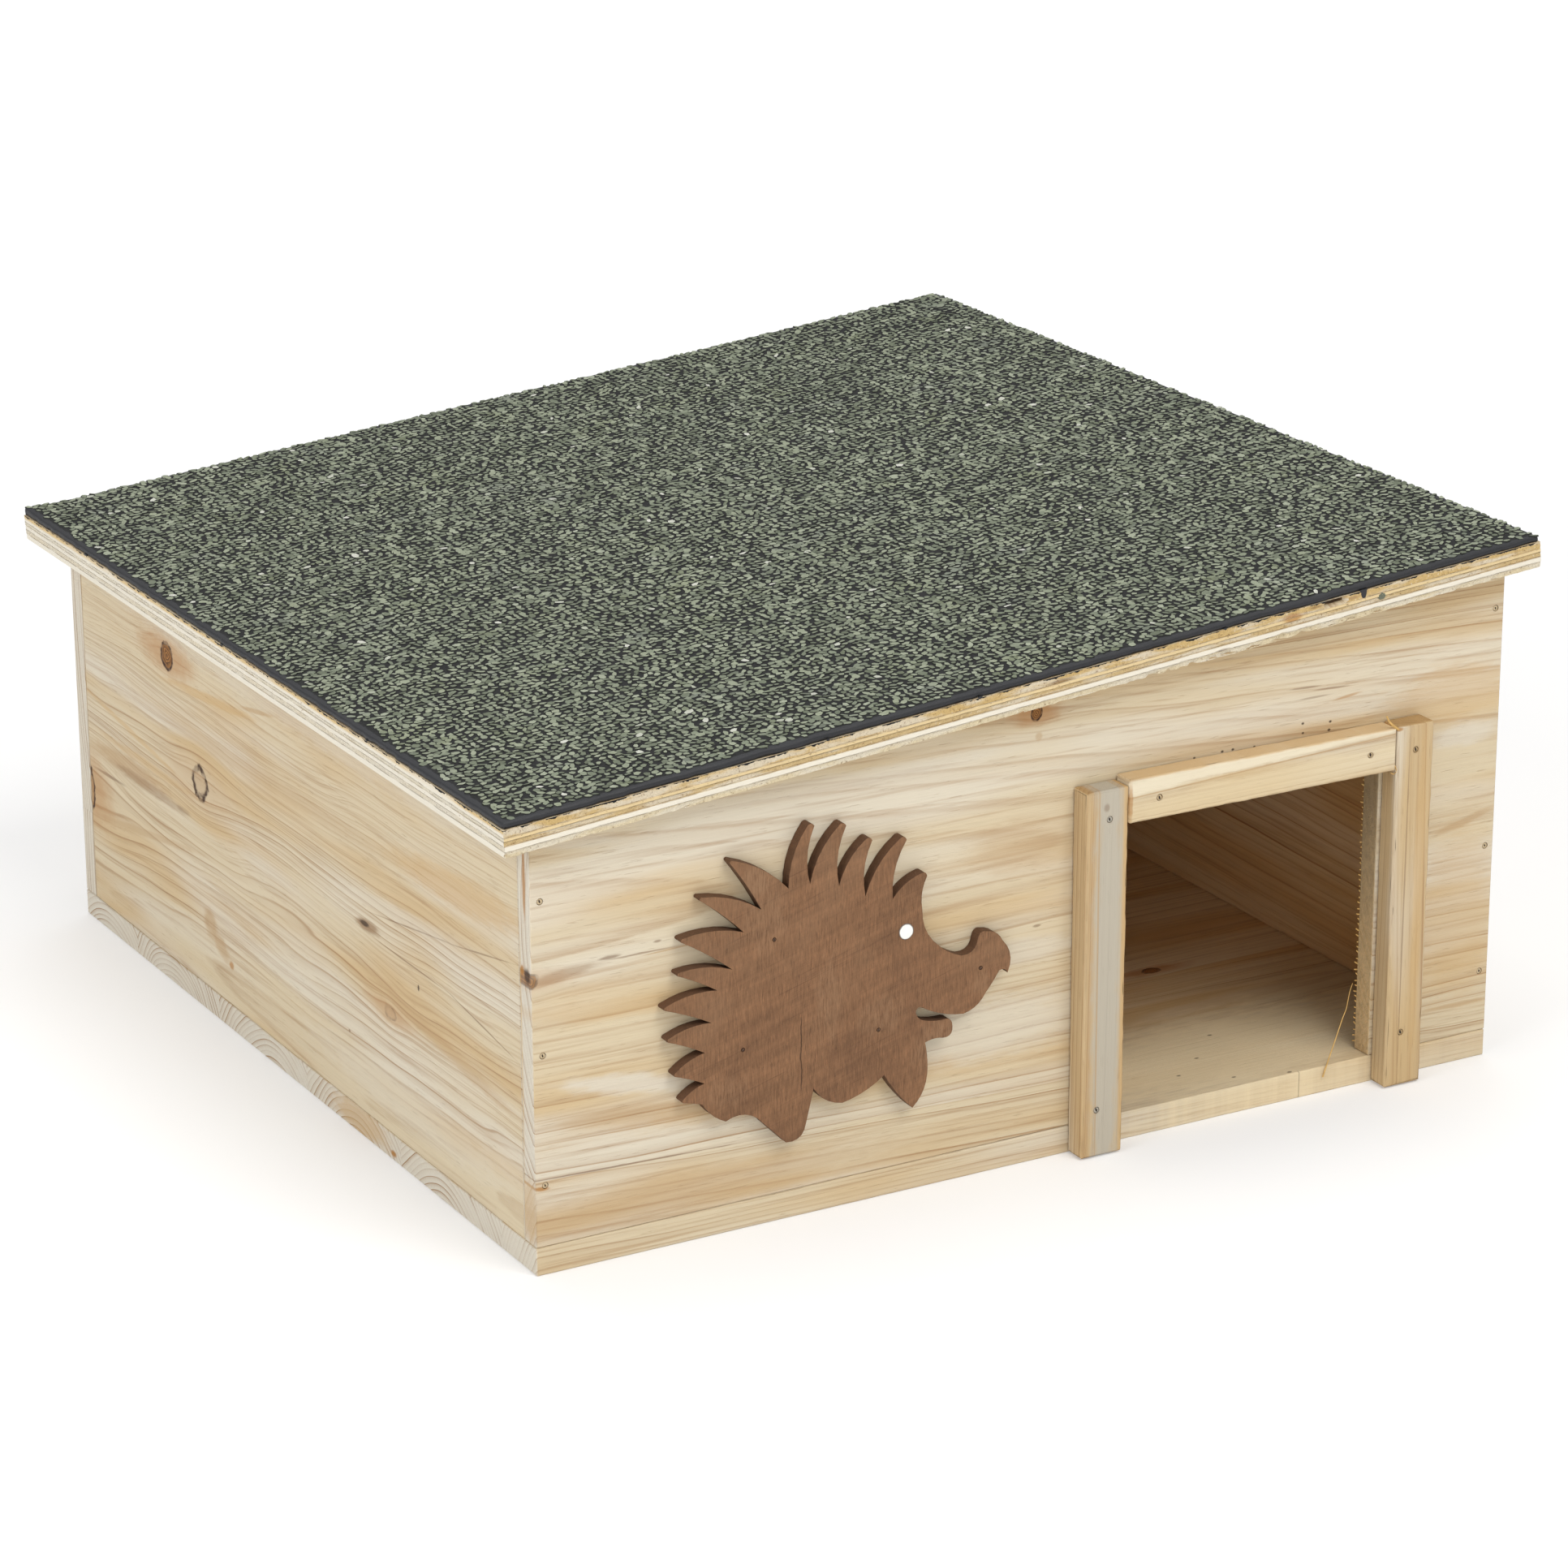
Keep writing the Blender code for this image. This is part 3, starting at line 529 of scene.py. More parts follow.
def wood_material(name, axes, knots=(), marks=(), end_marks=(), pale=None, end=WHITISH, sawn_from=NOWHERE,
                  inner=(), **feeds):
    """Softwood with its grain along the first of three axes and its width along the second. Its end is sawn
    rough beyond sawn_from and painted lighter towards the bottom as painted light, and on the inner side of
    the given places it gets a painted warm tint for the shade inside the house."""
    shades = colours()
    material, tree = new_material(name)
    x, y, z, place = millimetres(tree)
    parts = {"X": x, "Y": y, "Z": z}
    along, across, depth = (parts[axis] for axis in axes)
    flowed = across
    for middle, level, _, size, *_ in knots:
        flowed = use_group("knot_flow", Along=along, Across=flowed, Knot_Along=middle, Knot_Across=level,
                           Size=size)["Across"]
    ends = facing(tree, axes[0])
    wood = use_group("softwood", Along=along, Across=flowed, Depth=depth, Ends=ends,
                     Pale=pale or shades.pale_wood, White=shades.white_wood, Warm=shades.warm_wood,
                     Late=shades.late_wood, Knot=shades.knot_core, End=tint(*end), **feeds)
    colour = add_marks(wood["Color"], along, across, marks)
    colour, height = add_knots(colour, wood["Height"], along, across, knots)
    near = ends * calc("LESS_THAN", along, END_REACH)
    colour = add_marks(colour, across, depth, end_marks, near)
    sawn = ends * calc("GREATER_THAN", along, sawn_from)
    fuzz = cloud(place, (0.6, 0.55, 0.42), 5, 0.85, shift=19)
    # Painted light and shade: the sawn end is painted lighter towards the bottom and darker towards the top.
    painted_light_low = spread(rise(across, 130, 30), 0.3, 0.56)
    rough_cut = shade_of(painted_light_low, shade_of(fuzz, tint(*SAWN), 0.75), 1)
    colour = blend(sawn * 0.85, colour, rough_cut)
    height = muladd(sawn * fuzz, 7, height)
    deep = 1
    for side, level, reach in inner:
        deep = rise(parts[side], level, level + reach) * deep
    # Painted shade: the inner faces get a warm tint for the reddish shade inside the house.
    if inner:
        colour = blend(deep, colour, INNER_SHADE_TINT, "MULTIPLY")
    return finished(material, (height, 0.22, 0.8), Base_Color=colour, Roughness=wood["Roughness"],
                    Specular_IOR_Level=0.25)


# Finishes of single pieces

def figure_material():
    """Reddish brown stain over upright fibres, with faint cross lines, darker sides and rubbed places."""
    shades = colours()
    material, tree = new_material("stained_figure")
    x, y, z, place = millimetres(tree)
    slanted = vector(x, y, muladd(x, -0.28, z))
    fibre = cloud(place, (1.5, 1.5, 0.16), 4, 0.7, shift=4)
    hair = rise(cloud(place, (2.6, 2.6, 0.2), 3, 0.7, shift=14), 0.56, 0.72)
    blotch = cloud(place, (0.03, 0.03, 0.022), 4, 0.6, shift=24)
    wave = cloud(slanted, (0.02, 0.02, 0.2), 4, 0.66, shift=34)
    cross = rise(cloud(slanted, (0.022, 0.022, 1.1), 3, 0.6, shift=44), 0.6, 0.74)
    colour = shade_of(fibre, shades.stain, 0.66)
    colour = shade_of(wave, colour, 0.42)
    colour = blend(hair * 0.44, colour, shades.stain_dark)
    colour = blend(cross * 0.38, colour, shades.stain_dark)
    fleck = rise(cloud(place, (1.9, 1.9, 0.26), 3, 0.7, shift=54), 0.58, 0.72)
    colour = blend(fleck * 0.4, colour, tint(164, 114, 78))
    colour = blend(rise(blotch, 0.46, 0.72) * 0.3, colour, shades.stain_worn)
    colour = blend(rise(blotch, 0.46, 0.28) * 0.22, colour, shades.stain_dark)
    worn = 0
    for middle, level, length, width, strength in WORN_PLACES:
        mask = use_group("patch", Along=z, Across=x, Middle_Along=level, Middle_Across=middle, Length=length,
                         Width=width, Uneven=1.6)["Mask"]
        worn = calc("MAXIMUM", worn, mask * strength)
    colour = blend(worn * rise(fibre, 0.36, 0.6), colour, shades.stain_worn)
    side = rise(normal_along(tree, "Y"), -0.92, -0.35)
    colour = blend(side * 0.62, colour, shades.stain_dark)
    crack_gap = muladd(cloud(place, (0, 0, 0.12), 3) - 0.5, 2.4, x - CRACK_X)
    length = rise(z, CRACK_LOW, CRACK_LOW + 6) * rise(z, CRACK_HIGH, CRACK_HIGH - 6)
    crack = rise(abs(crack_gap), 0.3, 0.04) * length
    colour = blend(crack * 0.7, colour, tint(30, 18, 14))
    height = muladd(crack, -3, muladd(hair, -0.8, fibre))
    return finished(material, (height, 0.16, 0.8), Base_Color=colour, Roughness=spread(fibre, 0.78, 0.56),
                    Specular_IOR_Level=0.25)


def eye_material():
    """White paint with a thin dark rim and a slightly uneven coat."""
    shades = colours()
    material, tree = new_material("eye_paint")
    x, _, z, place = millimetres(tree)
    coat = cloud(place, (0.5, 0.5, 0.5), 3)
    far = muladd(coat - 0.5, 0.5, length_of(x - EYE[0], z - EYE[1]))
    colour = shade_of(coat, shades.eye_paint, 0.08)
    radius = sizes().eye_radius / MM
    rim = rise(far, radius - 0.55, radius - 0.15) * 0.85
    colour = blend(rim, colour, shades.stain_dark)
    return finished(material, (coat, 0.12, 0.6), Base_Color=colour, Roughness=spread(coat, 0.35, 0.55))


def ply_material():
    """Five plies seen at the edges, rough where their grain ends there, under a plain long-grained face."""
    shades = colours()
    material, tree = new_material("roof_plywood")
    x, y, z, place = millimetres(tree, ROOF_PLACE_BACK)
    low, high = roof_box("roof_board")
    level = muladd(cloud(place, (0.05, 0.05, 0), 3) - 0.5, 0.55, z - low.z / MM)
    thickness = (high.z - low.z) / MM
    part = level / thickness
    ends = facing(tree, "Y")
    faces = facing(tree, "Z")
    white = shades.ply_white
    bounds = [bottom / thickness for bottom, *_ in PLIES]
    across = ramp(part, bounds, (tint(214, 199, 166), white, shades.ply_dark, tint(212, 190, 146),
                                 shades.ply_face), constant=True)
    along = ramp(part, bounds, (white, tint(220, 209, 186), white, tint(221, 212, 190), white),
                 constant=True)
    yellow_edge = rise(part, 0.8, 0.93) * rise(cloud(place, (0.014, 0.014, 0), 2, shift=77), 0.28, 0.48)
    along = blend(yellow_edge * 0.8, along, tint(200, 168, 104))
    rough = cloud(place, (0.9, 0.9, 0.75), 5, 0.75, shift=7)
    streak = cloud(place, (0.028, 0.028, 1.5), 4, 0.6, shift=17)
    odd = ramp(part, bounds, ((1, 1, 1), (0, 0, 0)) * 2 + ((1, 1, 1),), constant=True)
    end_grain = abs(1 - ends - odd)
    colour = blend(ends, along, across)
    specked = shade_of(rough, colour, 0.3)
    drift = cloud(place, (0.045, 0.045, 0.3), 3, shift=27)
    specked = blend(rise(drift, 0.42, 0.62) * 0.65, specked, white)
    specked = blend(rise(rough, 0.6, 0.7), specked, white)
    specked = blend(rise(rough, 0.44, 0.3) * 0.75, specked, tint(124, 86, 50))
    colour = blend(end_grain, shade_of(streak, colour, 0.09), specked)
    gluelines = 0
    for edge in bounds[1:]:
        gluelines = calc("MAXIMUM", gluelines, rise(abs(level - edge * thickness), 0.26, 0.04))
    gluelines = gluelines * rise(cloud(place, (0.1, 0.1, 0.4), 3, shift=37), 0.34, 0.56)
    colour = blend(gluelines * 0.26, colour, tint(122, 92, 62))
    pits = cloud(place, (0.5, 0.5, 0.85), 4, 0.75, shift=87)
    torn_edge = rise(part, 0.4, 0.48) * rise(pits, 0.61, 0.68)
    colour = blend(torn_edge * 0.62, colour, tint(112, 80, 48))
    smear = cloud(place, (0.16, 0.16, 0), 4, 0.7, shift=97) - 0.46
    smear = rise(muladd(smear, 4.6, level), thickness - 0.25, thickness + 0.05)
    colour = blend(smear, colour, shades.bitumen)
    colour = add_marks(colour, x, z, PLY_MARKS, ends * calc("LESS_THAN", y, 0))
    wood = use_group("softwood", Along=y, Across=x, Depth=z, Seed=77, Spacing=7, Wander=46,
                     Pith_Depth=30, Lines=0.7, Lamella=2000, Offset=-900, Pale=shades.pale_wood,
                     White=tint(214, 203, 178), Warm=shades.warm_wood, Late=shades.late_wood,
                     Knot=shades.knot_core)
    colour = blend(faces, colour, wood["Color"])
    height = muladd(gluelines, -1.2, rough * muladd(end_grain, 2.6, 0.3))
    height = muladd(wood["Height"] * faces, 0.7, height * (1 - faces))
    return finished(material, (height, 0.3, 0.9), Base_Color=colour, Roughness=spread(rough, 0.75, 0.92),
                    Specular_IOR_Level=0.22)


def bitumen_material():
    """Black bitumen with the fine granules that lie between the flakes, painted darker there than at the
    edges as painted shade of the gaps, and a smooth shine at the edges.
    """
    shades = colours()
    material, tree = new_material("felt_bitumen")
    x, y, _, place = millimetres(tree, ROOF_PLACE_BACK)
    grit = add_node(tree, "ShaderNodeTexVoronoi", {"Vector": place, "Scale": 0.95}, feature="F1")
    luck = split(Value(grit.outputs["Color"]), "Color")[0]
    distance = Value(grit.outputs["Distance"])
    ragged = muladd(cloud(place, (0.25, 0.25, 0.25), 4, 0.7), 2.2, edge_distance(x, y))
    margin = sizes().felt_margin / MM
    inner = rise(ragged, margin - 0.4, margin + 0.4)
    # Granules between the flakes: the bitumen's own black made darker still as painted shade of the gaps.
    grain = blend(luck, tint(8, 9, 8), tint(22, 24, 21))
    grain = blend(rise(distance, 0.25, 0.62), grain, tint(8, 9, 9))
    soft = cloud(place, (0.06, 0.06, 0.3), 3, shift=3)
    edge = shade_of(soft, shades.bitumen, 0.35)
    dust = rise(cloud(place, (1.6, 1.6, 1.6), 3, 0.7, shift=12), 0.62, 0.78)
    edge = blend(dust * 0.35, edge, tint(84, 86, 90))
    colour = blend(inner, edge, grain)
    lumps = muladd(1 - distance, inner, soft)
    return finished(material, (lumps + dust * 0.3, 0.4, 0.9), Base_Color=colour,
                    Roughness=muladd(inner, 0.28, spread(soft, 0.42, 0.66)))


def edge_distance(x, y):
    """Distance in millimetres from the nearest edge of the felt."""
    low, high = roof_box("roof_felt")
    first = calc("MINIMUM", x - low.x / MM, high.x / MM - x)
    second = calc("MINIMUM", y - low.y / MM, high.y / MM - y)
    return calc("MINIMUM", first, second)


def flake_material():
    """Slate flakes, each of its own shade, in areas that lean to green or to blue, their sides painted
    nearly black as painted shade.
    """
    shades = colours()
    material, tree = new_material("felt_flakes")
    place = millimetres(tree, ROOF_PLACE_BACK)[3]
    tone = Value(add_node(tree, "ShaderNodeAttribute", attribute_name="tone").outputs["Fac"])
    flat = result("ShaderNodeVectorMath", {0: place, 1: (1, 1, 0)}, operation="MULTIPLY")
    area = cloud(flat, (0.016, 0.016, 0), 3, 0.6, shift=6)
    hue = cloud(flat, (0.05, 0.05, 0), 4, 0.7, shift=26)
    colour = ramp(tone, (0, 0.4, 0.9, 0.994, 0.9975),
                  (shades.flake_dark, tint(117, 124, 106), shades.flake_pale, tint(150, 156, 137),
                   tint(200, 200, 190)))
    colour = blend(rise(hue, 0.54, 0.72) * 0.35, colour, tint(112, 115, 114))
    colour = blend(rise(hue, 0.46, 0.3) * 0.35, colour, tint(118, 124, 92))
    colour = shade_of(area, colour, 0.1)
    # Painted shade: the flakes' sides are painted nearly black.
    painted_shade_flank = 1 - facing(tree, "Z")
    colour = blend(painted_shade_flank * 0.94, colour, tint(12, 13, 13))
    speck = cloud(place, (1.3, 1.3, 1.3), 4, 0.7, shift=2)
    colour = shade_of(speck, colour, 0.3)
    return finished(material, (speck, 0.18, 0.8), Base_Color=colour, Roughness=spread(speck, 0.62, 0.9),
                    Specular_IOR_Level=0.35)


def metal_material(name, shade, streak_amount, roughness):
    """Plated or bare steel with streaks, specks and uneven shine."""
    material, tree = new_material(name)
    scuffs = use_group("scuffs", Place=millimetres(tree)[3])
    streak = scuffs["Streak"]
    colour = shade_of(scuffs["Slow"], shade_of(streak, shade, streak_amount), 0.18)
    colour = blend(scuffs["Specks"] * 0.4, colour, tint(92, 82, 74))
    return finished(material, (streak, 0.06, 0.6), Base_Color=colour, Metallic=1,
                    Roughness=spread(streak, roughness - 0.12, roughness + 0.14))


# Shapes

def corners(places):
    """Lowest and highest corners of the box round some places."""
    return Vector(map(min, zip(*places))), Vector(map(max, zip(*places)))


def roof_box(node):
    """Box of a node in the roof's own frame, which lies square to its slope."""
    return corners([ROOF_PLACE_BACK @ vert.co for vert in frame["nodes"][node].data.vertices])


def middle_of(node):
    """Middle of a node in millimetres from the lower left front corner."""
    low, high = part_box(node)
    return ((low + high) / 2 - CORNER) / MM


def noise_at(*place):
    """Smooth noise at a place."""
    return noise.noise(Vector(place))


def fractal_at(octaves, *place):
    """Smooth noise with finer and finer parts at a place."""
    return noise.fractal(Vector(place), 0.8, 2.0, octaves)


def chances(number, step, row, layer):
    """Three chances from 0 to 1 for a numbered piece."""
    return noise.cell_vector(Vector((number * step + 0.5, row, layer)))


def merged_copy(node):
    """Copy of a node's mesh with its doubles merged and its flat faces joined."""
    bm = bmesh.new()
    bm.from_mesh(frame["nodes"][node].data)
    bmesh.ops.remove_doubles(bm, verts=bm.verts, dist=MERGE)
    bmesh.ops.dissolve_limit(bm, angle_limit=FLAT, verts=bm.verts, edges=bm.edges)
    return bm


def is_sharp(edge):
    """Whether two faces meet in a clear corner at an edge."""
    return len(edge.link_faces) == 2 and edge.calc_face_angle() > SHARP


def round_edges(bm, edges, radius):
    """Rounds edges and marks their new faces smooth."""
    made = bmesh.ops.bevel(bm, geom=edges, offset=radius, offset_type="OFFSET", affect="EDGES", segments=3,
                           profile=0.5, material=-1, clamp_overlap=True)
    for face in made["faces"]:
        face.smooth = True


def extrude(bm, faces, inside=False):
    """Extrudes faces, deleted where they come to lie inside: the new vertices and the first new face."""
    made = bmesh.ops.extrude_face_region(bm, geom=faces)["geom"]
    if inside:
        bmesh.ops.delete(bm, geom=faces, context="FACES_ONLY")
    verts = [item for item in made if isinstance(item, bmesh.types.BMVert)]
    return verts, next(item for item in made if isinstance(item, bmesh.types.BMFace))


def cone(bm, sides, foot, top, length, place):
    """Closed cone with its radii and length in millimetres, at a place and turn given as a matrix."""
    bmesh.ops.create_cone(bm, cap_ends=True, segments=sides, radius1=foot * MM, radius2=top * MM,
                          depth=length * MM, matrix=place)


def cut_across(bm, axis, step):
    """Cuts the mesh by evenly spaced planes square to an axis."""
    normal = Vector([float(index == axis) for index in range(3)])
    low, high = (corner[axis] for corner in corners([vert.co for vert in bm.verts]))
    count = int((high - low) / step)
    for number in range(1, count):
        place = normal * (low + (high - low) * number / count)
        bmesh.ops.bisect_plane(bm, geom=bm.verts[:] + bm.edges[:] + bm.faces[:], plane_co=place,
                               plane_no=normal)


def wear(bm, amount, grain, seed):
    """Moves the rounded edges a little in and out, within the box that the piece had."""
    noise.seed_set(NOISE_SEED)
    verts = {vert for face in bm.faces if face.smooth for vert in face.verts}
    low, high = corners([vert.co for vert in bm.verts])
    for vert in verts:
        place = vert.co / grain + Vector((seed, seed * 0.37, seed * 0.71))
        moved = vert.co + noise.noise_vector(place) * amount
        vert.co = Vector(map(min, map(max, moved, low), high))


def mesh_of(name, bm):
    """Mesh with the faces of a bmesh, which is freed."""
    mesh = bpy.data.meshes.new(name)
    bm.to_mesh(mesh)
    bm.free()
    return mesh


def add_object(name, data, collection=None):
    """Object linked to the scene or to a collection."""
    item = bpy.data.objects.new(name, data)
    (collection or bpy.context.scene.collection).objects.link(item)
    return item


def finish_piece(name, bm, body, material, replaced=()):
    """Piece with its faces turned outwards, on its body. The roof's pieces come in the roof's own frame."""
    bmesh.ops.recalc_face_normals(bm, faces=bm.faces)
    if body == "roof":
        bmesh.ops.transform(bm, matrix=ROOF_PLACE, verts=bm.verts)
    place_mesh(mesh_of(name, bm), body, material, replaced)


def place_mesh(mesh, body, material, replaced=()):
    """Object for a finished mesh, with its finish and its body."""
    mesh.materials.clear()
    mesh.materials.append(material)
    piece = add_object(mesh.name, mesh)
    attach(piece, body)
    if replaced:
        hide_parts(*replaced)


def thread(bm, points, thick):
    """Thin tapering fibre through points in millimetres from the lower left front corner."""
    places = [house(*point) for point in points]
    turn = (places[1] - places[0]).to_track_quat("Z", "Y").to_matrix().to_4x4()
    made = bmesh.ops.create_circle(bm, cap_ends=True, segments=6, radius=thick * MM,
                                   matrix=Matrix.Translation(places[0]) @ turn)
    face = made["verts"][0].link_faces[0]
    for number, (here, there) in enumerate(zip(places, places[1:])):
        verts, face = extrude(bm, [face], number > 0)
        bmesh.ops.translate(bm, vec=there - here, verts=verts)
        bmesh.ops.scale(bm, vec=(FIBRE_TAPER,) * 3, space=Matrix.Translation(-there), verts=verts)


def build_board(node, slot, axes, radius, step, settle=0.0, **feeds):
    """Softwood board in its node's place, with rounded, slightly uneven edges and its foot let down."""
    bm = merged_copy(node)
    sharp = [edge for edge in bm.edges if is_sharp(edge) and edge.calc_length() > SHORT_EDGE]
    round_edges(bm, sharp, radius)
    cut_across(bm, "XYZ".index(axes[0]), step * MM)
    wear(bm, 0.5 * radius, WEAR_GRAIN, feeds["Seed"])
    foot = min(vert.co.z for vert in bm.verts) + MM
    for vert in bm.verts:
        if vert.co.z < foot:
            vert.co.z -= settle
    material = wood_material(f"softwood_{node}", axes, **feeds)
    finish_piece(f"{node}_worked", bm, "house", material, (node,))


def rim_face(bm, low, high, step):
    """One flat face at the lowest corner's height, with its edges cut into short lengths."""
    bmesh.ops.create_grid(bm, x_segments=1, y_segments=1, size=0.5)
    bmesh.ops.scale(bm, vec=(high.x - low.x, high.y - low.y, 1.0), verts=bm.verts)
    middle = (low + high) / 2
    bmesh.ops.translate(bm, vec=(middle.x, middle.y, low.z), verts=bm.verts)
    bmesh.ops.delete(bm, geom=bm.faces[:], context="FACES_ONLY")
    bmesh.ops.subdivide_edges(bm, edges=bm.edges[:], cuts=int((high.x - low.x) / step))
    bmesh.ops.contextual_create(bm, geom=bm.edges[:])


def raise_levels(bm, heights):
    """Extrudes the only face through the given heights, and keeps it only at the bottom and the top."""
    face = bm.faces[:][0]
    for number, (below, above) in enumerate(zip(heights, heights[1:])):
        verts, face = extrude(bm, [face], number > 0)
        bmesh.ops.translate(bm, vec=(0.0, 0.0, above - below), verts=verts)


def check_closed(bm, name):
    """Stops the script where a piece has an open edge."""
    if any(len(edge.link_faces) != 2 for edge in bm.edges):
        raise RuntimeError(f"{name} isn't closed")


# Roof board and felt, in the roof's own frame. Lengths without MM are in millimetres.

# The plies from the bottom up: bottom, top, how far the edge lies back and its roughness, first at the front
# and back and then at the sides.
PLIES = (
    (0.0, 2.4, 0.20, 0.62, 0.04, 0.08),
    (2.4, 4.5, 0.02, 0.06, 0.08, 0.16),
    (4.5, 6.5, 0.34, 0.30, 0.04, 0.06),
    (6.5, 7.9, 0.04, 0.06, 0.10, 0.16),
    (7.9, 11.0, 0.10, 0.34, 0.05, 0.26),
)
# Knot hole in the front edge: place along the roof, height above the board's underside, half sizes, depth.
PLY_HOLE = (-94.4, 9.4, 5.0, 1.1, 2.4)
# Stains of the front edge, along the roof and up from its pin: middle, half sizes, tilt, colour, strength.
PLY_MARKS = (
    (-94.4, 12.3, 6.2, 1.3, 0, DARK, 0.95), (-116, 10.8, 5.5, 2, 0, AMBER, 0.75),
    (-225, 11.6, 7, 1, 0, BROWN, 0.55), (-104, 12.6, 4, 0.7, 0, BROWN, 0.5),
    (-86, 12.2, 3, 0.8, 0, TAN, 0.8), (-150, 5.6, 3.5, 0.8, 0, BROWN, 0.5),
)
# Torn places of the lower front edge, across the house: middle, half length and strength.
TORN_PLACES = (
    (-14, 7, 0.9), (60, 9, 0.25), (148, 8, 0.3), (212, 12, 0.35), (293, 38, 1), (352, 30, 0.8),
    (430, 14, 0.4),
)
TORN_LEAST = 0.12
TORN_HEIGHT = 3.0
TORN_FALL = 3.4
TORN_GAIN = 1.6
HIGHEST_CHIP = 1.2
SPLINTERS = 64

FELT_EDGE_CUTS = (0.0, 0.3, 0.7, 1.3, 2.2, 3.6)
FELT_CELLS = 160
FELT_ROUND = 1.2
FELT_SAG = 0.30
# Waves of the felt: height, width and layer of the noise.
FELT_WAVES = ((0.30, 70.0, 2.0), (0.12, 16.0, 5.0))
BACK_WAVE = 0.35
CORNER_LIFT, CORNER_REACH = 1.1, 14.0
FLAKE_RISE = 0.68
FLAKE_INSET = 0.2 * MM
FLAKE_TILT = 0.13
# Flakes on a square metre before the ones that lie too close are left out.
FLAKE_DENSITY = 2400000.0
# Tongues of bitumen: axis of their edge, distance inside the board's edge, width at the tip as a share of
# the root's, and for each its place, half width and length.
TONGUES = ((0, 0.28, 0.45, ((-81.1, 1.9, 3.8), (-148.0, 1.0, 0.9), (-262.0, 1.3, 0.8), (-330.0, 0.9, 0.7))),
           (1, 0.38, 0.40, ((167.0, 1.8, 3.4), (20.0, 1.2, 1.0), (-120.0, 1.0, 0.8))))
TONGUE_THICK = 0.26


def torn(x):
    """Strength of the tearing at a place along the lower front edge."""
    parts = [strength * math.exp(-((x - middle) / length) ** 2) for middle, length, strength in TORN_PLACES]
    return min(1.0, TORN_LEAST + sum(parts))


def along_house(along):
    """Millimetres from the house's left side for a place along the roof."""
    return along * math.cos(ROOF_SLOPE) + (PIN.x - CORNER.x) / MM


def roof_edge_levels():
    """Heights at which the plies' edges are cut."""
    levels = []
    for bottom, top, *_ in PLIES:
        inner = max(2, round((top - bottom) / 0.7))
        between = [bottom + (top - bottom) * number / inner for number in range(1, inner)]
        levels += [bottom + 0.05, *between, top - 0.05]
    levels[0], levels[-1] = PLIES[0][0], PLIES[-1][1]
    return levels


def lay_back(vert, low, high):
    """Moves a point of the roof board's edge inwards by its ply, its roughness and the tears."""
    level = (vert.co.z - low.z) / MM
    ply = next((row for row in PLIES if row[0] - 0.01 <= level <= row[1] + 0.01), PLIES[-1])
    hole_along, hole_level, half_width, half_height, hole_depth = PLY_HOLE
    sides = [(0, 1.0, vert.co.x - low.x), (0, -1.0, high.x - vert.co.x),
             (1, 1.0, vert.co.y - low.y), (1, -1.0, high.y - vert.co.y)]
    for axis, inward, gap in sides:
        if gap > MERGE:
            continue
        along = vert.co[1 - axis] / MM
        depth, rough = (ply[2], ply[3]) if axis else (ply[4], ply[5])
        fine = 0.5 + 0.5 * noise_at(along / 0.9, level / 1.1, inward * 9.0 + axis)
        coarse = noise_at(along / 14.0, ply[0] * 3.1, inward * 5.0 + axis)
        move = depth * (1.0 + 0.6 * coarse) + rough * fine
        front = axis and inward > 0.0
        if front and level < TORN_HEIGHT:
            strength = torn(along_house(along))
            chips = max(0.0, fractal_at(4, along / 6.0, level / 6.0, 4.0) + 0.18)
            fall = 1.0 - level / TORN_FALL
            move += chips * fall * strength * sizes().torn_depth / MM * TORN_GAIN
            vert.co.z += min(chips * strength * fall * 0.8, HIGHEST_CHIP) * MM * (level < 0.1)
        if front and abs(along - hole_along) < half_width and abs(level - hole_level) < half_height:
            move += hole_depth
        vert.co[axis] += inward * max(0.02, move) * MM


def felt_cut(part, count, length):
    """Place of a felt grid line from 0 to 1: close lines at both edges and even ones between."""
    number = round(part * count)
    mirrored = min(number, count - number)
    if mirrored < len(FELT_EDGE_CUTS):
        place = FELT_EDGE_CUTS[mirrored] * MM
    else:
        first = FELT_EDGE_CUTS[-1] * MM
        steps = count / 2 - len(FELT_EDGE_CUTS) + 1
        place = first + (length / 2 - first) * (mirrored - len(FELT_EDGE_CUTS) + 1) / steps
    return place / length if number == mirrored else 1.0 - place / length


def edge_gap(place, low, high):
    """Distance of a place from the nearest side of a box, seen from above."""
    return min(place.x - low.x, high.x - place.x, place.y - low.y, high.y - place.y)


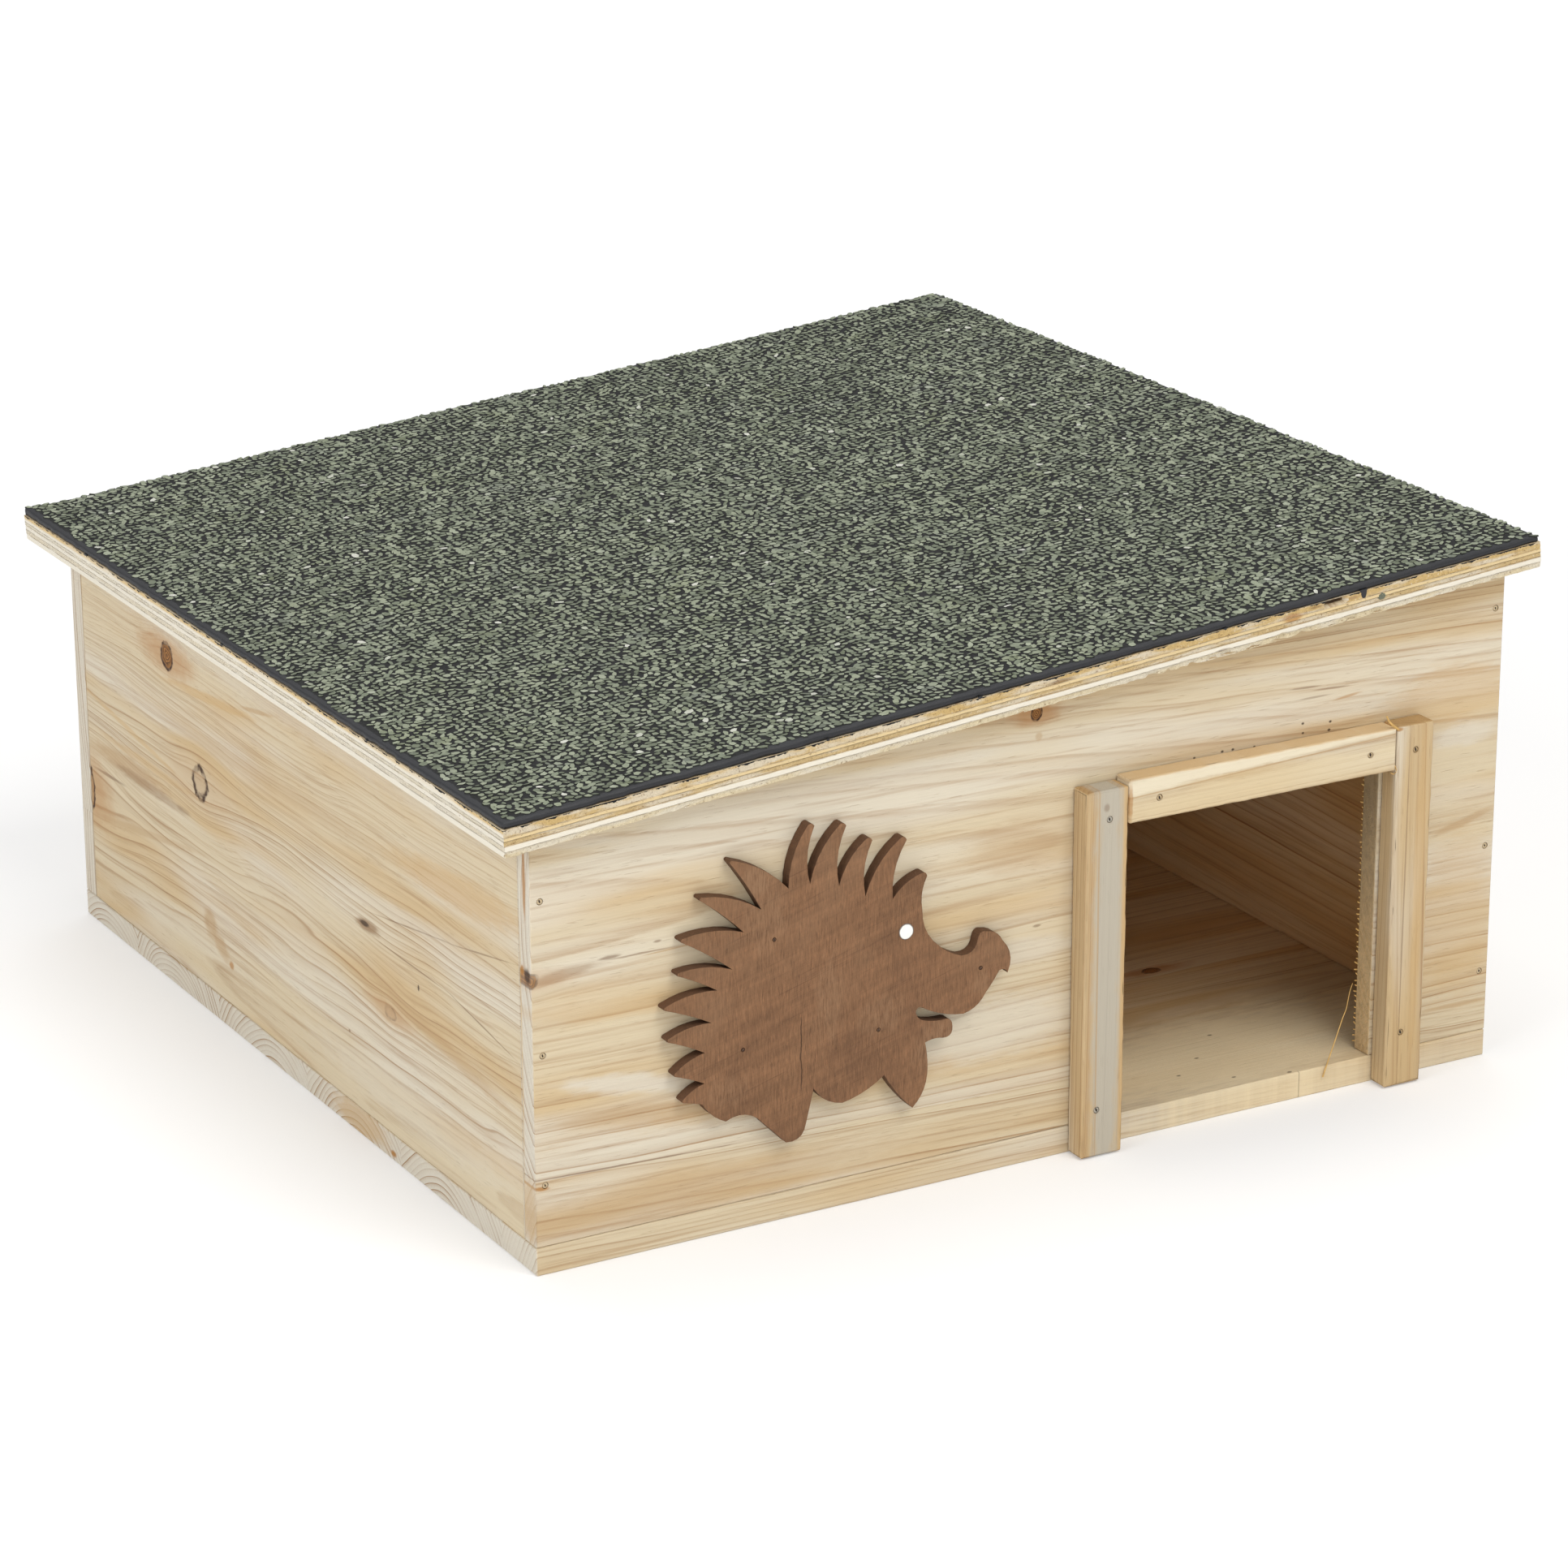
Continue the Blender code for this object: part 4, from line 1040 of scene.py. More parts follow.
def felt_sheet():
    """Upper surface of the felt: rounded at its edges, uneven and a little wavy."""
    low, high = roof_box("roof_felt")
    bm = bmesh.new()
    bmesh.ops.create_grid(bm, x_segments=FELT_CELLS, y_segments=FELT_CELLS, size=0.5)
    length, width = high.x - low.x, high.y - low.y
    for vert in bm.verts:
        vert.co.x = low.x + length * felt_cut(vert.co.x + 0.5, FELT_CELLS, length)
        vert.co.y = low.y + width * felt_cut(vert.co.y + 0.5, FELT_CELLS, width)
    for vert in bm.verts:
        gap = edge_gap(vert.co, low, high) / MM
        place = vert.co / MM
        sag = -FELT_SAG
        for height, wide, layer in FELT_WAVES:
            sag += height * noise_at(place.x / wide, place.y / wide, layer)
        drop = FELT_ROUND - math.sqrt(max(0.0, FELT_ROUND ** 2 - max(0.0, FELT_ROUND - gap) ** 2))
        back = math.exp(-((high.y - vert.co.y) / MM / 6.0))
        sag += back * BACK_WAVE * noise_at(place.x / 9.0, 3.0, 1.0)
        corner = math.hypot(vert.co.x - low.x, high.y - vert.co.y) / MM
        sag += CORNER_LIFT * math.exp(-(corner / CORNER_REACH) ** 2)
        vert.co.z = high.z + (sag - drop - FLAKE_RISE) * MM
        if gap < 1.0:
            ragged = 0.34 + 0.46 * fractal_at(3, place.x / 5.0, place.y / 5.0, 8.0)
            ragged = max(0.0, ragged) * (1.0 - gap)
            vert.co.x += ragged * MM * ((vert.co.x - low.x < MM) - (high.x - vert.co.x < MM))
            vert.co.y += ragged * MM * ((vert.co.y - low.y < MM) - (high.y - vert.co.y < MM))
    return bm


def felt_bed():
    """Felt as a closed sheet from its upper surface down to the roof board."""
    low, _ = roof_box("roof_felt")
    bm = felt_sheet()
    verts, _ = extrude(bm, bm.faces[:])
    for vert in verts:
        place = vert.co / MM
        tooth = max(0.0, fractal_at(3, place.x / 2.6, place.y / 2.6, 3.0))
        vert.co.z = low.z + tooth * 0.5 * MM
    check_closed(bm, "roof felt")
    for face in bm.faces:
        face.smooth = True
    return bm


def flake_shapes():
    """Few-sided chips of slate, one unit long, that the scatter picks from."""
    noise.seed_set(NOISE_SEED)
    collection = bpy.data.collections.new("flake_shapes")
    bpy.context.scene.collection.children.link(collection)
    for number in range(6):
        bm = bmesh.new()
        bmesh.ops.create_circle(bm, cap_ends=True, segments=5 + number % 2, radius=0.5)
        for vert in bm.verts:
            turn = noise.noise_vector(Vector((vert.co.x * 3.0, vert.co.y * 3.0, number * 7.3)))
            vert.co += Vector((turn.x, turn.y, 0.0)) * 0.22
        bmesh.ops.scale(bm, vec=(1.0, 0.60 + 0.05 * number, 1.0), verts=bm.verts)
        top, _ = extrude(bm, bm.faces[:])
        bmesh.ops.translate(bm, vec=(0.0, 0.0, 0.15), verts=top)
        bmesh.ops.scale(bm, vec=(0.84, 0.82, 1.0), verts=top)
        for vert in top:
            vert.co.z += 0.04 * noise_at(vert.co.x * 5.0, vert.co.y * 5.0, number * 3.1)
        bmesh.ops.translate(bm, vec=(0.0, 0.0, -0.08), verts=bm.verts)
        bmesh.ops.recalc_face_normals(bm, faces=bm.faces)
        add_object(f"flake_{number}", mesh_of(f"flake_{number}", bm), collection)
    return collection


def scatter_tree(collection, length, spacing, seed):
    """Geometry nodes that lay turned and tilted chips over a surface, each with a tone of its own."""
    tree = bpy.data.node_groups.new(f"scatter_{seed}", "GeometryNodeTree")
    for way in ("INPUT", "OUTPUT"):
        tree.interface.new_socket(name="Geometry", in_out=way, socket_type="NodeSocketGeometry")

    def draw(kind, feeds, output=0):
        """Random value of a kind for each flake."""
        return Value(add_node(tree, "FunctionNodeRandomValue", feeds, data_type=kind).outputs[output])

    shapes = add_node(tree, "GeometryNodeCollectionInfo",
                      {"Collection": collection, "Separate Children": True, "Reset Children": True})
    points = result("GeometryNodeDistributePointsOnFaces",
                    {"Mesh": Value(add_node(tree, "NodeGroupInput").outputs[0]), "Distance Min": spacing,
                     "Density Max": FLAKE_DENSITY, "Seed": seed}, distribute_method="POISSON")
    turn = draw("FLOAT_VECTOR", {0: (-FLAKE_TILT, -FLAKE_TILT, 0.0), 1: (FLAKE_TILT, FLAKE_TILT, math.tau),
                                 "Seed": 1})
    size = draw("FLOAT_VECTOR", {0: (length * 0.66, length * 0.66, length * 0.70),
                                 1: (length * 1.20, length * 1.20, length * 1.10), "Seed": 2})
    laid = result("GeometryNodeInstanceOnPoints",
                  {"Points": points, "Instance": Value(shapes.outputs[0]), "Pick Instance": True,
                   "Rotation": turn, "Scale": size})
    marked = result("GeometryNodeStoreNamedAttribute",
                    {"Geometry": laid, "Name": "tone", "Value": draw("FLOAT", {"Seed": 3}, 1)},
                    data_type="FLOAT", domain="INSTANCE")
    add_node(tree, "NodeGroupOutput", {0: result("GeometryNodeRealizeInstances", {"Geometry": marked})})
    return tree


def flake_field(quarter, collection):
    """Mesh of the flakes that cover one quarter of the felt."""
    low, high = roof_box("roof_felt")
    middle = (low + high) / 2
    bm = felt_sheet()
    margin = sizes().felt_margin
    left, front = quarter % 2 == 0, quarter < 2
    outside = []
    for face in bm.faces:
        place = face.calc_center_median()
        gap = edge_gap(place, low, high)
        spot = place / MM
        ragged = fractal_at(3, spot.x / 5.0, spot.y / 5.0, 6.0) * MM * 1.7
        # The bare border is broad along the left and the front edge.
        bare = margin if min(place.x - low.x, place.y - low.y) == gap else margin * 0.15
        if gap < bare + ragged or (place.x < middle.x) != left or (place.y < middle.y) != front:
            outside.append(face)
    bmesh.ops.delete(bm, geom=outside, context="FACES")
    field = add_object(f"flake_field_{quarter}", mesh_of(f"flake_field_{quarter}", bm))
    tree = scatter_tree(collection, sizes().flake_length, sizes().flake_spacing, quarter + 1)
    field.modifiers.new("scatter", "NODES").node_group = tree
    graph = bpy.context.evaluated_depsgraph_get()
    made = bpy.data.meshes.new_from_object(field.evaluated_get(graph))
    bpy.data.objects.remove(field)
    for vert in made.vertices:
        vert.co.x = min(max(vert.co.x, low.x + FLAKE_INSET), high.x - FLAKE_INSET)
        vert.co.y = min(max(vert.co.y, low.y + FLAKE_INSET), high.y - FLAKE_INSET)
    made.transform(ROOF_PLACE)
    made.name = f"felt_flakes_{quarter + 1}"
    return made


# Listed features, in millimetres from the lower left front corner

EYE = (160.9, 113.0)
EYE_THICK = 0.25
# Steps in which the eye swells to its middle: width and height of each.
EYE_STEPS = ((0.22, 0.10), (0.35, 0.06), (0.6, 0.03), (0.7, 0.01))
CRACK_X, CRACK_LOW, CRACK_HIGH = 113.8, 54.0, 89.0
# Rubbed places of the figure: middle, height, half height, half width and strength.
WORN_PLACES = (
    (95, 147, 8, 8, 0.8), (98, 128, 14, 10, 0.5), (176, 62, 12, 12, 0.7), (126, 92, 22, 7, 0.5),
    (150, 80, 9, 12, 0.5), (80, 62, 8, 12, 0.4), (196, 84, 5, 7, 0.5),
)

# Knots: place along and across, half length, half width, strength of heart, rim and halo.
# Marks: place along and across, half length, half width, tilt, colour, strength. A board's end marks have
# their place across the board and in its thickness.
FRONT_KNOTS = (
    (222.9, 190.8, 2.4, 3, 1, 1, 0.6), (-1.2, 121.4, 4, 2.8, 0.7, 0.5, 0.25),
)
FRONT_MARKS = (
    (41, 72, 34, 5, 0.17, WHITISH, 0.75), (120, 52, 90, 7, 0.02, HONEY, 0.42),
    (48, 58, 52, 5, 0.1, TAN, 0.35), (60, 21, 120, 11, 0, TAN, 0.35),
    (33, 125.2, 5.5, 0.8, -0.03, BROWN, 0.6), (54, 127.8, 2.2, 0.7, 0, BROWN, 0.55),
    (13, 122, 19, 2.8, -0.1, FLAME, 0.5), (2.6, 36.2, 4, 1.1, 0.1, AMBER, 0.85),
    (38, 38.6, 60, 0.42, 0.036, BROWN, 0.6), (428, 165, 40, 16, 0, HONEY, 0.45),
    (432, 70, 24, 45, 0, HONEY, 0.35), (218, 92, 30, 6, 0, WHITISH, 0.45),
    (120, 178, 110, 4, 0, WHITISH, 0.4), (432, 147, 20, 6, 0, WHITISH, 0.6),
    (434, 108, 20, 2.2, -0.24, TAN, 0.5), (214, 137, 26, 13, 0.05, TAN, 0.34),
    (432, 26, 20, 1.5, 0, TAN, 0.5), (224.2, 181, 2, 2.4, 0, TAN, 0.45),
    (20, 174, 22, 3, 0.1, WHITISH, 0.4), (40, 104, 60, 5, 0.08, HONEY, 0.3),
    (351, 180.2, 9, 0.55, 0.05, BROWN, 0.5), (356, 175.4, 10, 0.5, 0, BROWN, 0.42),
    (364, 178, 9, 0.5, 0.05, BROWN, 0.42), (372, 173.2, 8, 0.8, -0.1, AMBER, 0.55),
    (45, 124.2, 16, 0.45, 0, BROWN, 0.5), (58, 123.4, 14, 0.4, -0.03, TAN, 0.6),
    (224.6, 101.5, 2.2, 0.7, 0, BROWN, 0.55), (200, 62, 60, 15, 0, WHITISH, 0.5),
    *((x, z, 0.8, 0.6, 0, DARK, 0.85) for x, z in (
        (298, 159.4), (311.5, 159.8), (316.6, 159.8), (327.1, 159.2), (350.8, 161), (350.6, 165.1),
        (364.2, 163.7), (363.7, 160.2))),
)
FRONT_END_MARKS = (
    (160, 4.6, 18, 1.5, 0, AMBER, 0.8), (123, 3, 3.6, 2.6, 0, DARK, 0.8),
    (124, 7.4, 2.4, 1.6, 0, AMBER, 0.9), (26, 5, 16, 9, 0, HONEY, 0.5), (90, 9, 60, 1, 0, STRAW, 0.4),
)
LEFT_KNOTS = (
    (345.4, 153.6, 6.2, 5.5, 1, 1, 0.55), (314.5, 105, 7.6, 6.8, 0.1, 0.95, 0.18),
    (127, 64.8, 4.6, 2.8, 0.12, 0.35, 0.35), (443, 64, 5.5, 10.5, 0.45, 1, 0.45),
)
LEFT_MARKS = (
    (396, 88, 52, 6, 0.03, TAN, 0.6), (372, 85.4, 46, 3, 0.02, FLAME, 0.5),
    (334, 86.6, 9, 1.5, 0, BROWN, 0.3), (420, 76.6, 22, 0.9, 0.05, BROWN, 0.55),
    (372, 96, 70, 2.4, 0.02, HONEY, 0.4), (390, 106, 66, 1.6, -0.1, HONEY, 0.45),
    (380, 62, 72, 2.2, 0.16, TAN, 0.38), (147, 95.4, 13, 3.2, 0.05, FLAME, 0.8),
    (149.5, 95.8, 5, 1.3, 0.05, DARK, 0.8), (104, 108.5, 42, 0.42, 0.155, BROWN, 0.55),
    (44, 118.4, 36, 0.42, 0.19, BROWN, 0.5), (106, 92.4, 40, 0.42, 0, BROWN, 0.55),
    (46, 89, 38, 0.42, -0.13, BROWN, 0.55), (99.8, 84.9, 0.9, 1.6, 0, DARK, 0.8),
    (167.2, 43, 1.2, 0.8, 0, BROWN, 0.6), (309.5, 43, 8, 7.5, 0, TAN, 0.6),
    (298, 36, 10, 6, -0.4, TAN, 0.55), (287.5, 30.6, 3, 2.2, 0, AMBER, 0.75),
    (300, 147, 60, 2.6, 0.1, HONEY, 0.55), (250, 156, 20, 1.2, 0.16, TAN, 0.6),
    (60, 138, 70, 9, 0.06, HONEY, 0.55), (250, 128, 160, 4.5, 0.03, TAN, 0.3),
    (80, 68, 78, 4.5, -0.11, TAN, 0.42), (225, 166, 230, 9, 0, WHITISH, 0.4),
    (110, 30, 110, 12, 0, WHITISH, 0.35), (120, 110, 70, 4, 0.1, WHITISH, 0.3),
)
BACK_KNOTS = (
    (96, 62, 6, 4.6, 0.9, 1, 0.5), (318, 128, 8, 6, 0.2, 0.9, 0.4), (402, 40, 3, 2.4, 1, 0.8, 0.4),
)
BACK_MARKS = (
    (210, 96, 60, 5, 0.03, WHITISH, 0.5), (150, 150, 90, 8, 0, HONEY, 0.4),
    (360, 66, 60, 4, 0.02, TAN, 0.35), (240, 40, 14, 0.8, 0, BROWN, 0.5),
    (60, 120, 9, 0.7, 0.05, BROWN, 0.5),
)
RIGHT_KNOTS = (
    (362, 74, 7, 5.4, 0.8, 1, 0.5), (304, 172, 3.4, 2.6, 1, 0.8, 0.4),
)
RIGHT_MARKS = (
    (260, 60, 70, 5, 0.02, TAN, 0.4), (200, 178, 90, 8, 0, WHITISH, 0.4),
    (392, 124, 24, 1, 0.04, BROWN, 0.4), (60, 176, 16, 0.9, -0.04, BROWN, 0.4),
)
FLOOR_KNOTS = (
    (364.5, 126.7, 4, 2.6, 0.9, 0.8, 0.6),
)
FLOOR_END_MARKS = (
    (127.9, 3.2, 3.4, 1.8, 0, AMBER, 0.95), (160, 6, 30, 9, 0, HONEY, 0.6),
    (30, 6, 34, 9, 0, WHITISH, 0.4),
)
# The first floor mark is painted light: a lighter patch on the floor just inside the entrance.
FLOOR_MARKS = (
    (350, 34, 120, 46, 0, SILL_PAINTED_LIGHT, 0.85), (354.6, 0, 0.3, 1.6, 0, DARK, 0.4),
    *((x, y, 1.3, 0.8, 0, DARK, 0.7) for x, y in (
        (328, 9), (309, 21.5), (326, 33.5), (345, 52), (351, 2))),
)
LEFT_RAIL_MARKS = (
    (80, 243.4, 120, 2.4, 0, TAN, 0.35), (80, 251.6, 200, 8.2, 0, GREY, 0.88),
    (80, 246.8, 130, 0.45, 0.004, TAN, 0.6), (80, 259.2, 130, 1.7, 0, HONEY, 0.7),
    (150, 250, 2, 1.6, 0, BROWN, 0.4),
)
RIGHT_RAIL_MARKS = (
    (80, 397, 100, 0.45, 0, BROWN, 0.45), (90, 404, 90, 3, 0, HONEY, 0.45),
    (158.6, 391.6, 1, 2, 0, AMBER, 0.8),
)
LINTEL_MARKS = (
    (325, 147, 130, 7, -0.02, PALE_SILL, 0.6), (325, 158.4, 200, 4.2, -0.041, PALE_UPPER, 0.9),
    (325, 154.4, 200, 0.4, -0.041, TAN, 0.6), (325, 160.2, 200, 1.5, 0, HONEY, 0.75),
    (261.2, 150, 1.1, 9, 0, AMBER, 0.6),
)

# Boards: node, axes of length, width and thickness, length of a cut for the worn edges, and their grain.
# The inner places of a board get the painted warm tint of the shade inside the house.
BOARDS = (
    ("front_panel", "XZY", 3, {
        "knots": FRONT_KNOTS, "marks": FRONT_MARKS, "end_marks": FRONT_END_MARKS, "sawn_from": 200,
        "Seed": 3, "Lamella": 168, "Offset": 39.4, "Lean": -0.03, "Pith_Depth": 105, "Pith_Spread": 30,
        "Pith_Across": 30, "Spacing": 3, "Wander": 13, "Seam": 0, "Lines": 0.9}),
    ("back_panel", "XZY", 6, {
        "knots": BACK_KNOTS, "marks": BACK_MARKS, "inner": (("Y", 450, -5), ("X", 14, 4), ("X", 444, -4)),
        "Seed": 9, "Lamella": 150, "Offset": 52, "Lean": 0.02, "Pith_Depth": 105, "Pith_Spread": 30,
        "Pith_Across": 45, "Spacing": 2.6, "Wander": 13, "Seam": 0.3, "Lines": 1.1}),
    ("left_side_wall", "YZX", 3, {
        "knots": LEFT_KNOTS, "marks": LEFT_MARKS, "inner": (("X", 7, 2),), "Seed": 5, "Pith_Across": -330,
        "Pith_Spread": 0, "Pith_Depth": 55, "Spacing": 3.1, "Wander": 30}),
    ("right_side_wall", "YZX", 6, {
        "knots": RIGHT_KNOTS, "marks": RIGHT_MARKS, "inner": (("X", 446, -2),), "Seed": 12, "Seam": 0,
        "Lines": 1.3, "Wander": 12, "Pith_Depth": 90}),
    ("partition", "YZX", 6, {"inner": (("Z", 1, 1),), "Seed": 15, "Lamella": 130, "Offset": 30}),
    ("floor_board", "XYZ", 3, {
        "knots": FLOOR_KNOTS, "marks": FLOOR_MARKS, "end_marks": FLOOR_END_MARKS,
        "inner": (("Y", 40, 110), ("X", 14, 4), ("X", 446, -4), ("Y", 449, -4), ("Z", 11, 0.5)), "Seed": 21,
        "Lamella": 91, "Offset": 30, "Pith_Depth": 36, "Spacing": 2.6, "Lines": 0.75, "Wander": 12,
        "Seam": 0.15}),
)
# Battens round the entrance: node, axes of length, width and thickness, marks, and the seed of their grain.
BATTENS = (("left_door_rail", "ZXY", LEFT_RAIL_MARKS, 31), ("right_door_rail", "ZXY", RIGHT_RAIL_MARKS, 33),
           ("door_lintel", "XZY", LINTEL_MARKS, 35))
BATTEN_END = (170, 138, 92)
# Mark round a nail: half sizes, tilt, colour and strength.
NAIL_DENT = (2, 1.7, 0, BROWN, 0.18)
SHORT_EDGE = 5.0 * MM
WEAR_GRAIN = 7.0 * MM
# How far the walls are let down onto the floor board
SETTLE = 0.26 * MM
# Loose fibres round the entrance: their points and their half thickness.
FIBRES = (
    (((366.1, -0.8, 7.3), (369.1, -0.5, 14.9), (373.5, 1.0, 22.8), (377.8, 3.0, 29.6), (380.8, 4.5, 33.1),
      (383.3, 6.0, 39.6), (385.4, 7.0, 42.9)), 0.34),
    (((391.2, -9.9, 158.6), (388.4, -9.9, 160.8), (386.6, -9.8, 162.6), (385.4, -9.6, 165.0)), 0.6),
    (((388.4, -9.9, 144.2), (390.4, -9.9, 142.8), (391.2, -9.9, 140.6), (389.8, -9.8, 139.4),
      (388.2, -9.8, 140.4)), 0.3),
)
FIBRE_TAPER = 0.86
# Fuzz under the lintel and on the sawn edge: how many fibres, and where.
LINTEL_FUZZ, LINTEL_LEFT, LINTEL_REACH, LINTEL_FOOT = 14, 344.0, 26.0, 142.6
SAWN_FUZZ, SAWN_EDGE, SAWN_FOOT, SAWN_LENGTH = 52, 389.95, 14.0, 128.0


def nail_dents(board, axes):
    """Dents round a batten's two nails, as marks along and across it."""
    dents = []
    for number in (1, 2):
        middle = middle_of(f"{board}_nail_{number}")
        along, across = (middle["XYZ".index(axis)] for axis in axes[:2])
        dents.append((along, across, *NAIL_DENT))
    return tuple(dents)


def build_boards():
    """Boards of the box, each with its own grain and marks, the walls let down onto the floor board."""
    for node, axes, step, feeds in BOARDS:
        settle = SETTLE if node != "floor_board" else 0.0
        build_board(node, "board", axes, sizes().edge_round, step, settle, **feeds)


def build_battens():
    """Rails and lintel round the entrance, with their loose fibres."""
    for node, axes, marks, seed in BATTENS:
        pale = colours().pale_wood if node == "door_lintel" else colours().batten_wood
        build_board(node, "batten", axes, sizes().batten_round, 2, marks=marks + nail_dents(node, axes),
                    pale=pale, end=BATTEN_END, Seed=seed, Spacing=2.6, Pith_Depth=120, Pith_Spread=0,
                    Wander=5, Lines=0.8)
    build_fibres()


def build_fibres():
    """Straw in the entrance, slivers on the right rail, and fuzz under the lintel and on the sawn edge."""
    bm = bmesh.new()
    for points, thick in FIBRES:
        thread(bm, points, thick)
    for number in range(LINTEL_FUZZ):
        chance = chances(number, 1.9, 7.5, 2.5)
        x, y, z = LINTEL_LEFT + LINTEL_REACH * chance.x, -5.0 + 3.0 * chance.y, LINTEL_FOOT
        thread(bm, ((x, y, z), (x + chance.z, y, z - 2.0 - chance.x),
                    (x + 3.0 * chance.z, y - 0.6, z - 3.4)), 0.16)
    for number in range(SAWN_FUZZ):
        chance = chances(number, 2.7, 3.5, 8.5)
        x, z = SAWN_EDGE, SAWN_FOOT + SAWN_LENGTH * (number + 0.5) / SAWN_FUZZ
        out = 0.7 + 1.0 * chance.x ** 2
        thread(bm, ((x, 9.6 + 0.3 * chance.y, z), (x - 0.05 - 0.5 * out, 9.8, z + 0.5 * chance.z),
                    (x - 0.15 - out, 10.1, z + 1.2 * chance.z)), 0.34)
    material, tree = new_material("loose_fibres")
    colour = shade_of(cloud(millimetres(tree)[3], (0.6, 0.6, 0.6), 3.0), tint(*STRAW), 0.35)
    finish_piece("entrance_fibres", bm, "house",
                 finished(material, Base_Color=colour, Roughness=0.6))


def build_figure():
    """Stained figure with a rounded outline, and its painted eye."""
    bm = merged_copy("hedgehog_figure")
    front = min(vert.co.y for vert in bm.verts)
    outline = [edge for edge in bm.edges
               if all(vert.co.y < front + MERGE for vert in edge.verts) and is_sharp(edge)]
    round_edges(bm, outline, sizes().figure_round)
    finish_piece("hedgehog_figure_worked", bm, "house", figure_material(), ("hedgehog_figure",))
    build_eye(front)


def build_eye(front):
    """Painted eye: a slightly uneven disc that swells to its middle."""
    bm = bmesh.new()
    bmesh.ops.create_circle(bm, cap_ends=True, segments=40, radius=sizes().eye_radius)
    for vert in bm.verts:
        vert.co *= 1.0 + 0.05 * noise.noise(Vector((vert.co.x, vert.co.y, 0.0)) / (1.3 * MM))
    verts, face = extrude(bm, bm.faces[:])
    bmesh.ops.translate(bm, vec=(0.0, 0.0, EYE_THICK * MM), verts=verts)
    for thickness, depth in EYE_STEPS:
        bmesh.ops.inset_region(bm, faces=[face], thickness=thickness * MM, depth=depth * MM,
                               use_even_offset=True, use_boundary=True)
    for face in bm.faces:
        face.smooth = True
    place = house(EYE[0], 0.0, EYE[1])
    place.y = front + 0.12 * MM
    turn = Matrix.Translation(place) @ Matrix.Rotation(math.radians(90), 4, "X")
    bmesh.ops.transform(bm, matrix=turn, verts=bm.verts)
    finish_piece("figure_eye", bm, "house", eye_material())


def build_roof_board():
    """Plywood roof board with plies that lie back from one another and a torn lower front edge."""
    low, high = roof_box("roof_board")
    bm = bmesh.new()
    rim_face(bm, low, high, 1.5 * MM)
    raise_levels(bm, [low.z + level * MM for level in roof_edge_levels()])
    for vert in bm.verts:
        lay_back(vert, low, high)
    check_closed(bm, "roof board")
    material = ply_material()
    finish_piece("roof_plywood", bm, "roof", material, ("roof_board",))
    build_splinters(low, material)


def build_splinters(low, material):
    """Thin slivers that hang from the torn lower front edge."""
    bm = bmesh.new()
    for number in range(SPLINTERS):
        chance = chances(number, 1.7, 3.5, 1.5) * 0.5 + Vector((0.5,) * 3)
        more = chances(number, 2.3, 9.5, 4.5) * 0.5 + Vector((0.5,) * 3)
        # Two in three hang at the two longest torn places.
        middle, half, strength = TORN_PLACES[4 + number % 2] if number % 3 else TORN_PLACES[number % 7]
        across = middle + (chance.x - 0.5) * 2.0 * half
        length = (2.0 + 7.0 * chance.y ** 2) * (0.4 + 0.6 * strength)
        along = (across - (PIN.x - CORNER.x) / MM) / math.cos(ROOF_SLOPE)
        lean = math.radians(90.0 + 22.0 * (more.x - 0.5))
        back, level = 0.35 + 0.8 * more.y, 0.15 - 0.35 * chance.z
        place = Vector((along * MM, low.y + back * MM, low.z + level * MM))
        turn = Matrix.Translation(place) @ Matrix.Rotation(lean, 4, "Y")
        turn = turn @ Matrix.Rotation(math.radians(8.0 * (more.z - 0.5)), 4, "X")
        cone(bm, 5, 0.12 + 0.22 * more.y, 0.02, length, turn)
    for vert in bm.verts:
        vert.co.x = max(vert.co.x, low.x + 0.3 * MM)
        vert.co.y = max(vert.co.y, low.y + 0.1 * MM)
    finish_piece("roof_splinters", bm, "roof", material)


def build_felt():
    """Felt bed, the tongues of bitumen at its edges and the slate flakes on it."""
    finish_piece("felt_bed", felt_bed(), "roof", bitumen_material(), ("roof_felt",))
    build_tongues()
    build_stray_flake()
    collection = flake_shapes()
    material = flake_material()
    for quarter in range(4):
        place_mesh(flake_field(quarter, collection), "roof", material)
    for shape in list(collection.objects):
        bpy.data.objects.remove(shape)
    bpy.data.collections.remove(collection)


def build_tongues():
    """Small tongues of bitumen that hang over the plywood's edge."""
    low, _ = roof_box("roof_board")
    level = roof_box("roof_felt")[0].z
    bm = bmesh.new()
    for axis, inset, narrow, rows in TONGUES:
        for along, wide, deep in rows:
            place = Vector((0.0, 0.0, level + (0.3 - deep / 2) * MM))
            place[axis] = along * MM
            place[1 - axis] = low[1 - axis] + inset * MM
            squash = [1.0] * 4
            squash[1 - axis] = TONGUE_THICK / wide
            cone(bm, 8, narrow * wide, wide, deep, Matrix.Translation(place) @ Matrix.Diagonal(squash))
    finish_piece("felt_tongues", bm, "roof", bitumen_material())


def build_stray_flake():
    """Flake that stuck to the plywood's front edge."""
    low, _ = roof_box("roof_board")
    bm = bmesh.new()
    place = Vector((-72.4 * MM, low.y + 0.36 * MM, low.z + 6.6 * MM))
    turn = Matrix.Rotation(math.radians(90.0), 4, "X")
    cone(bm, 7, 1.7, 1.4, 0.6, Matrix.Translation(place) @ turn @ Matrix.Diagonal((1.3, 1.0, 1.0, 1.0)))
    material, tree = new_material("stray_flake")
    speck = cloud(millimetres(tree)[3], (1.3, 1.3, 1.3), 4.0, 0.7)
    colour = shade_of(speck, tint(96, 100, 84), 0.3)
    finish_piece("stray_flake", bm, "roof",
                 finished(material, (speck, 0.18, 0.8), Base_Color=colour, Roughness=0.75))


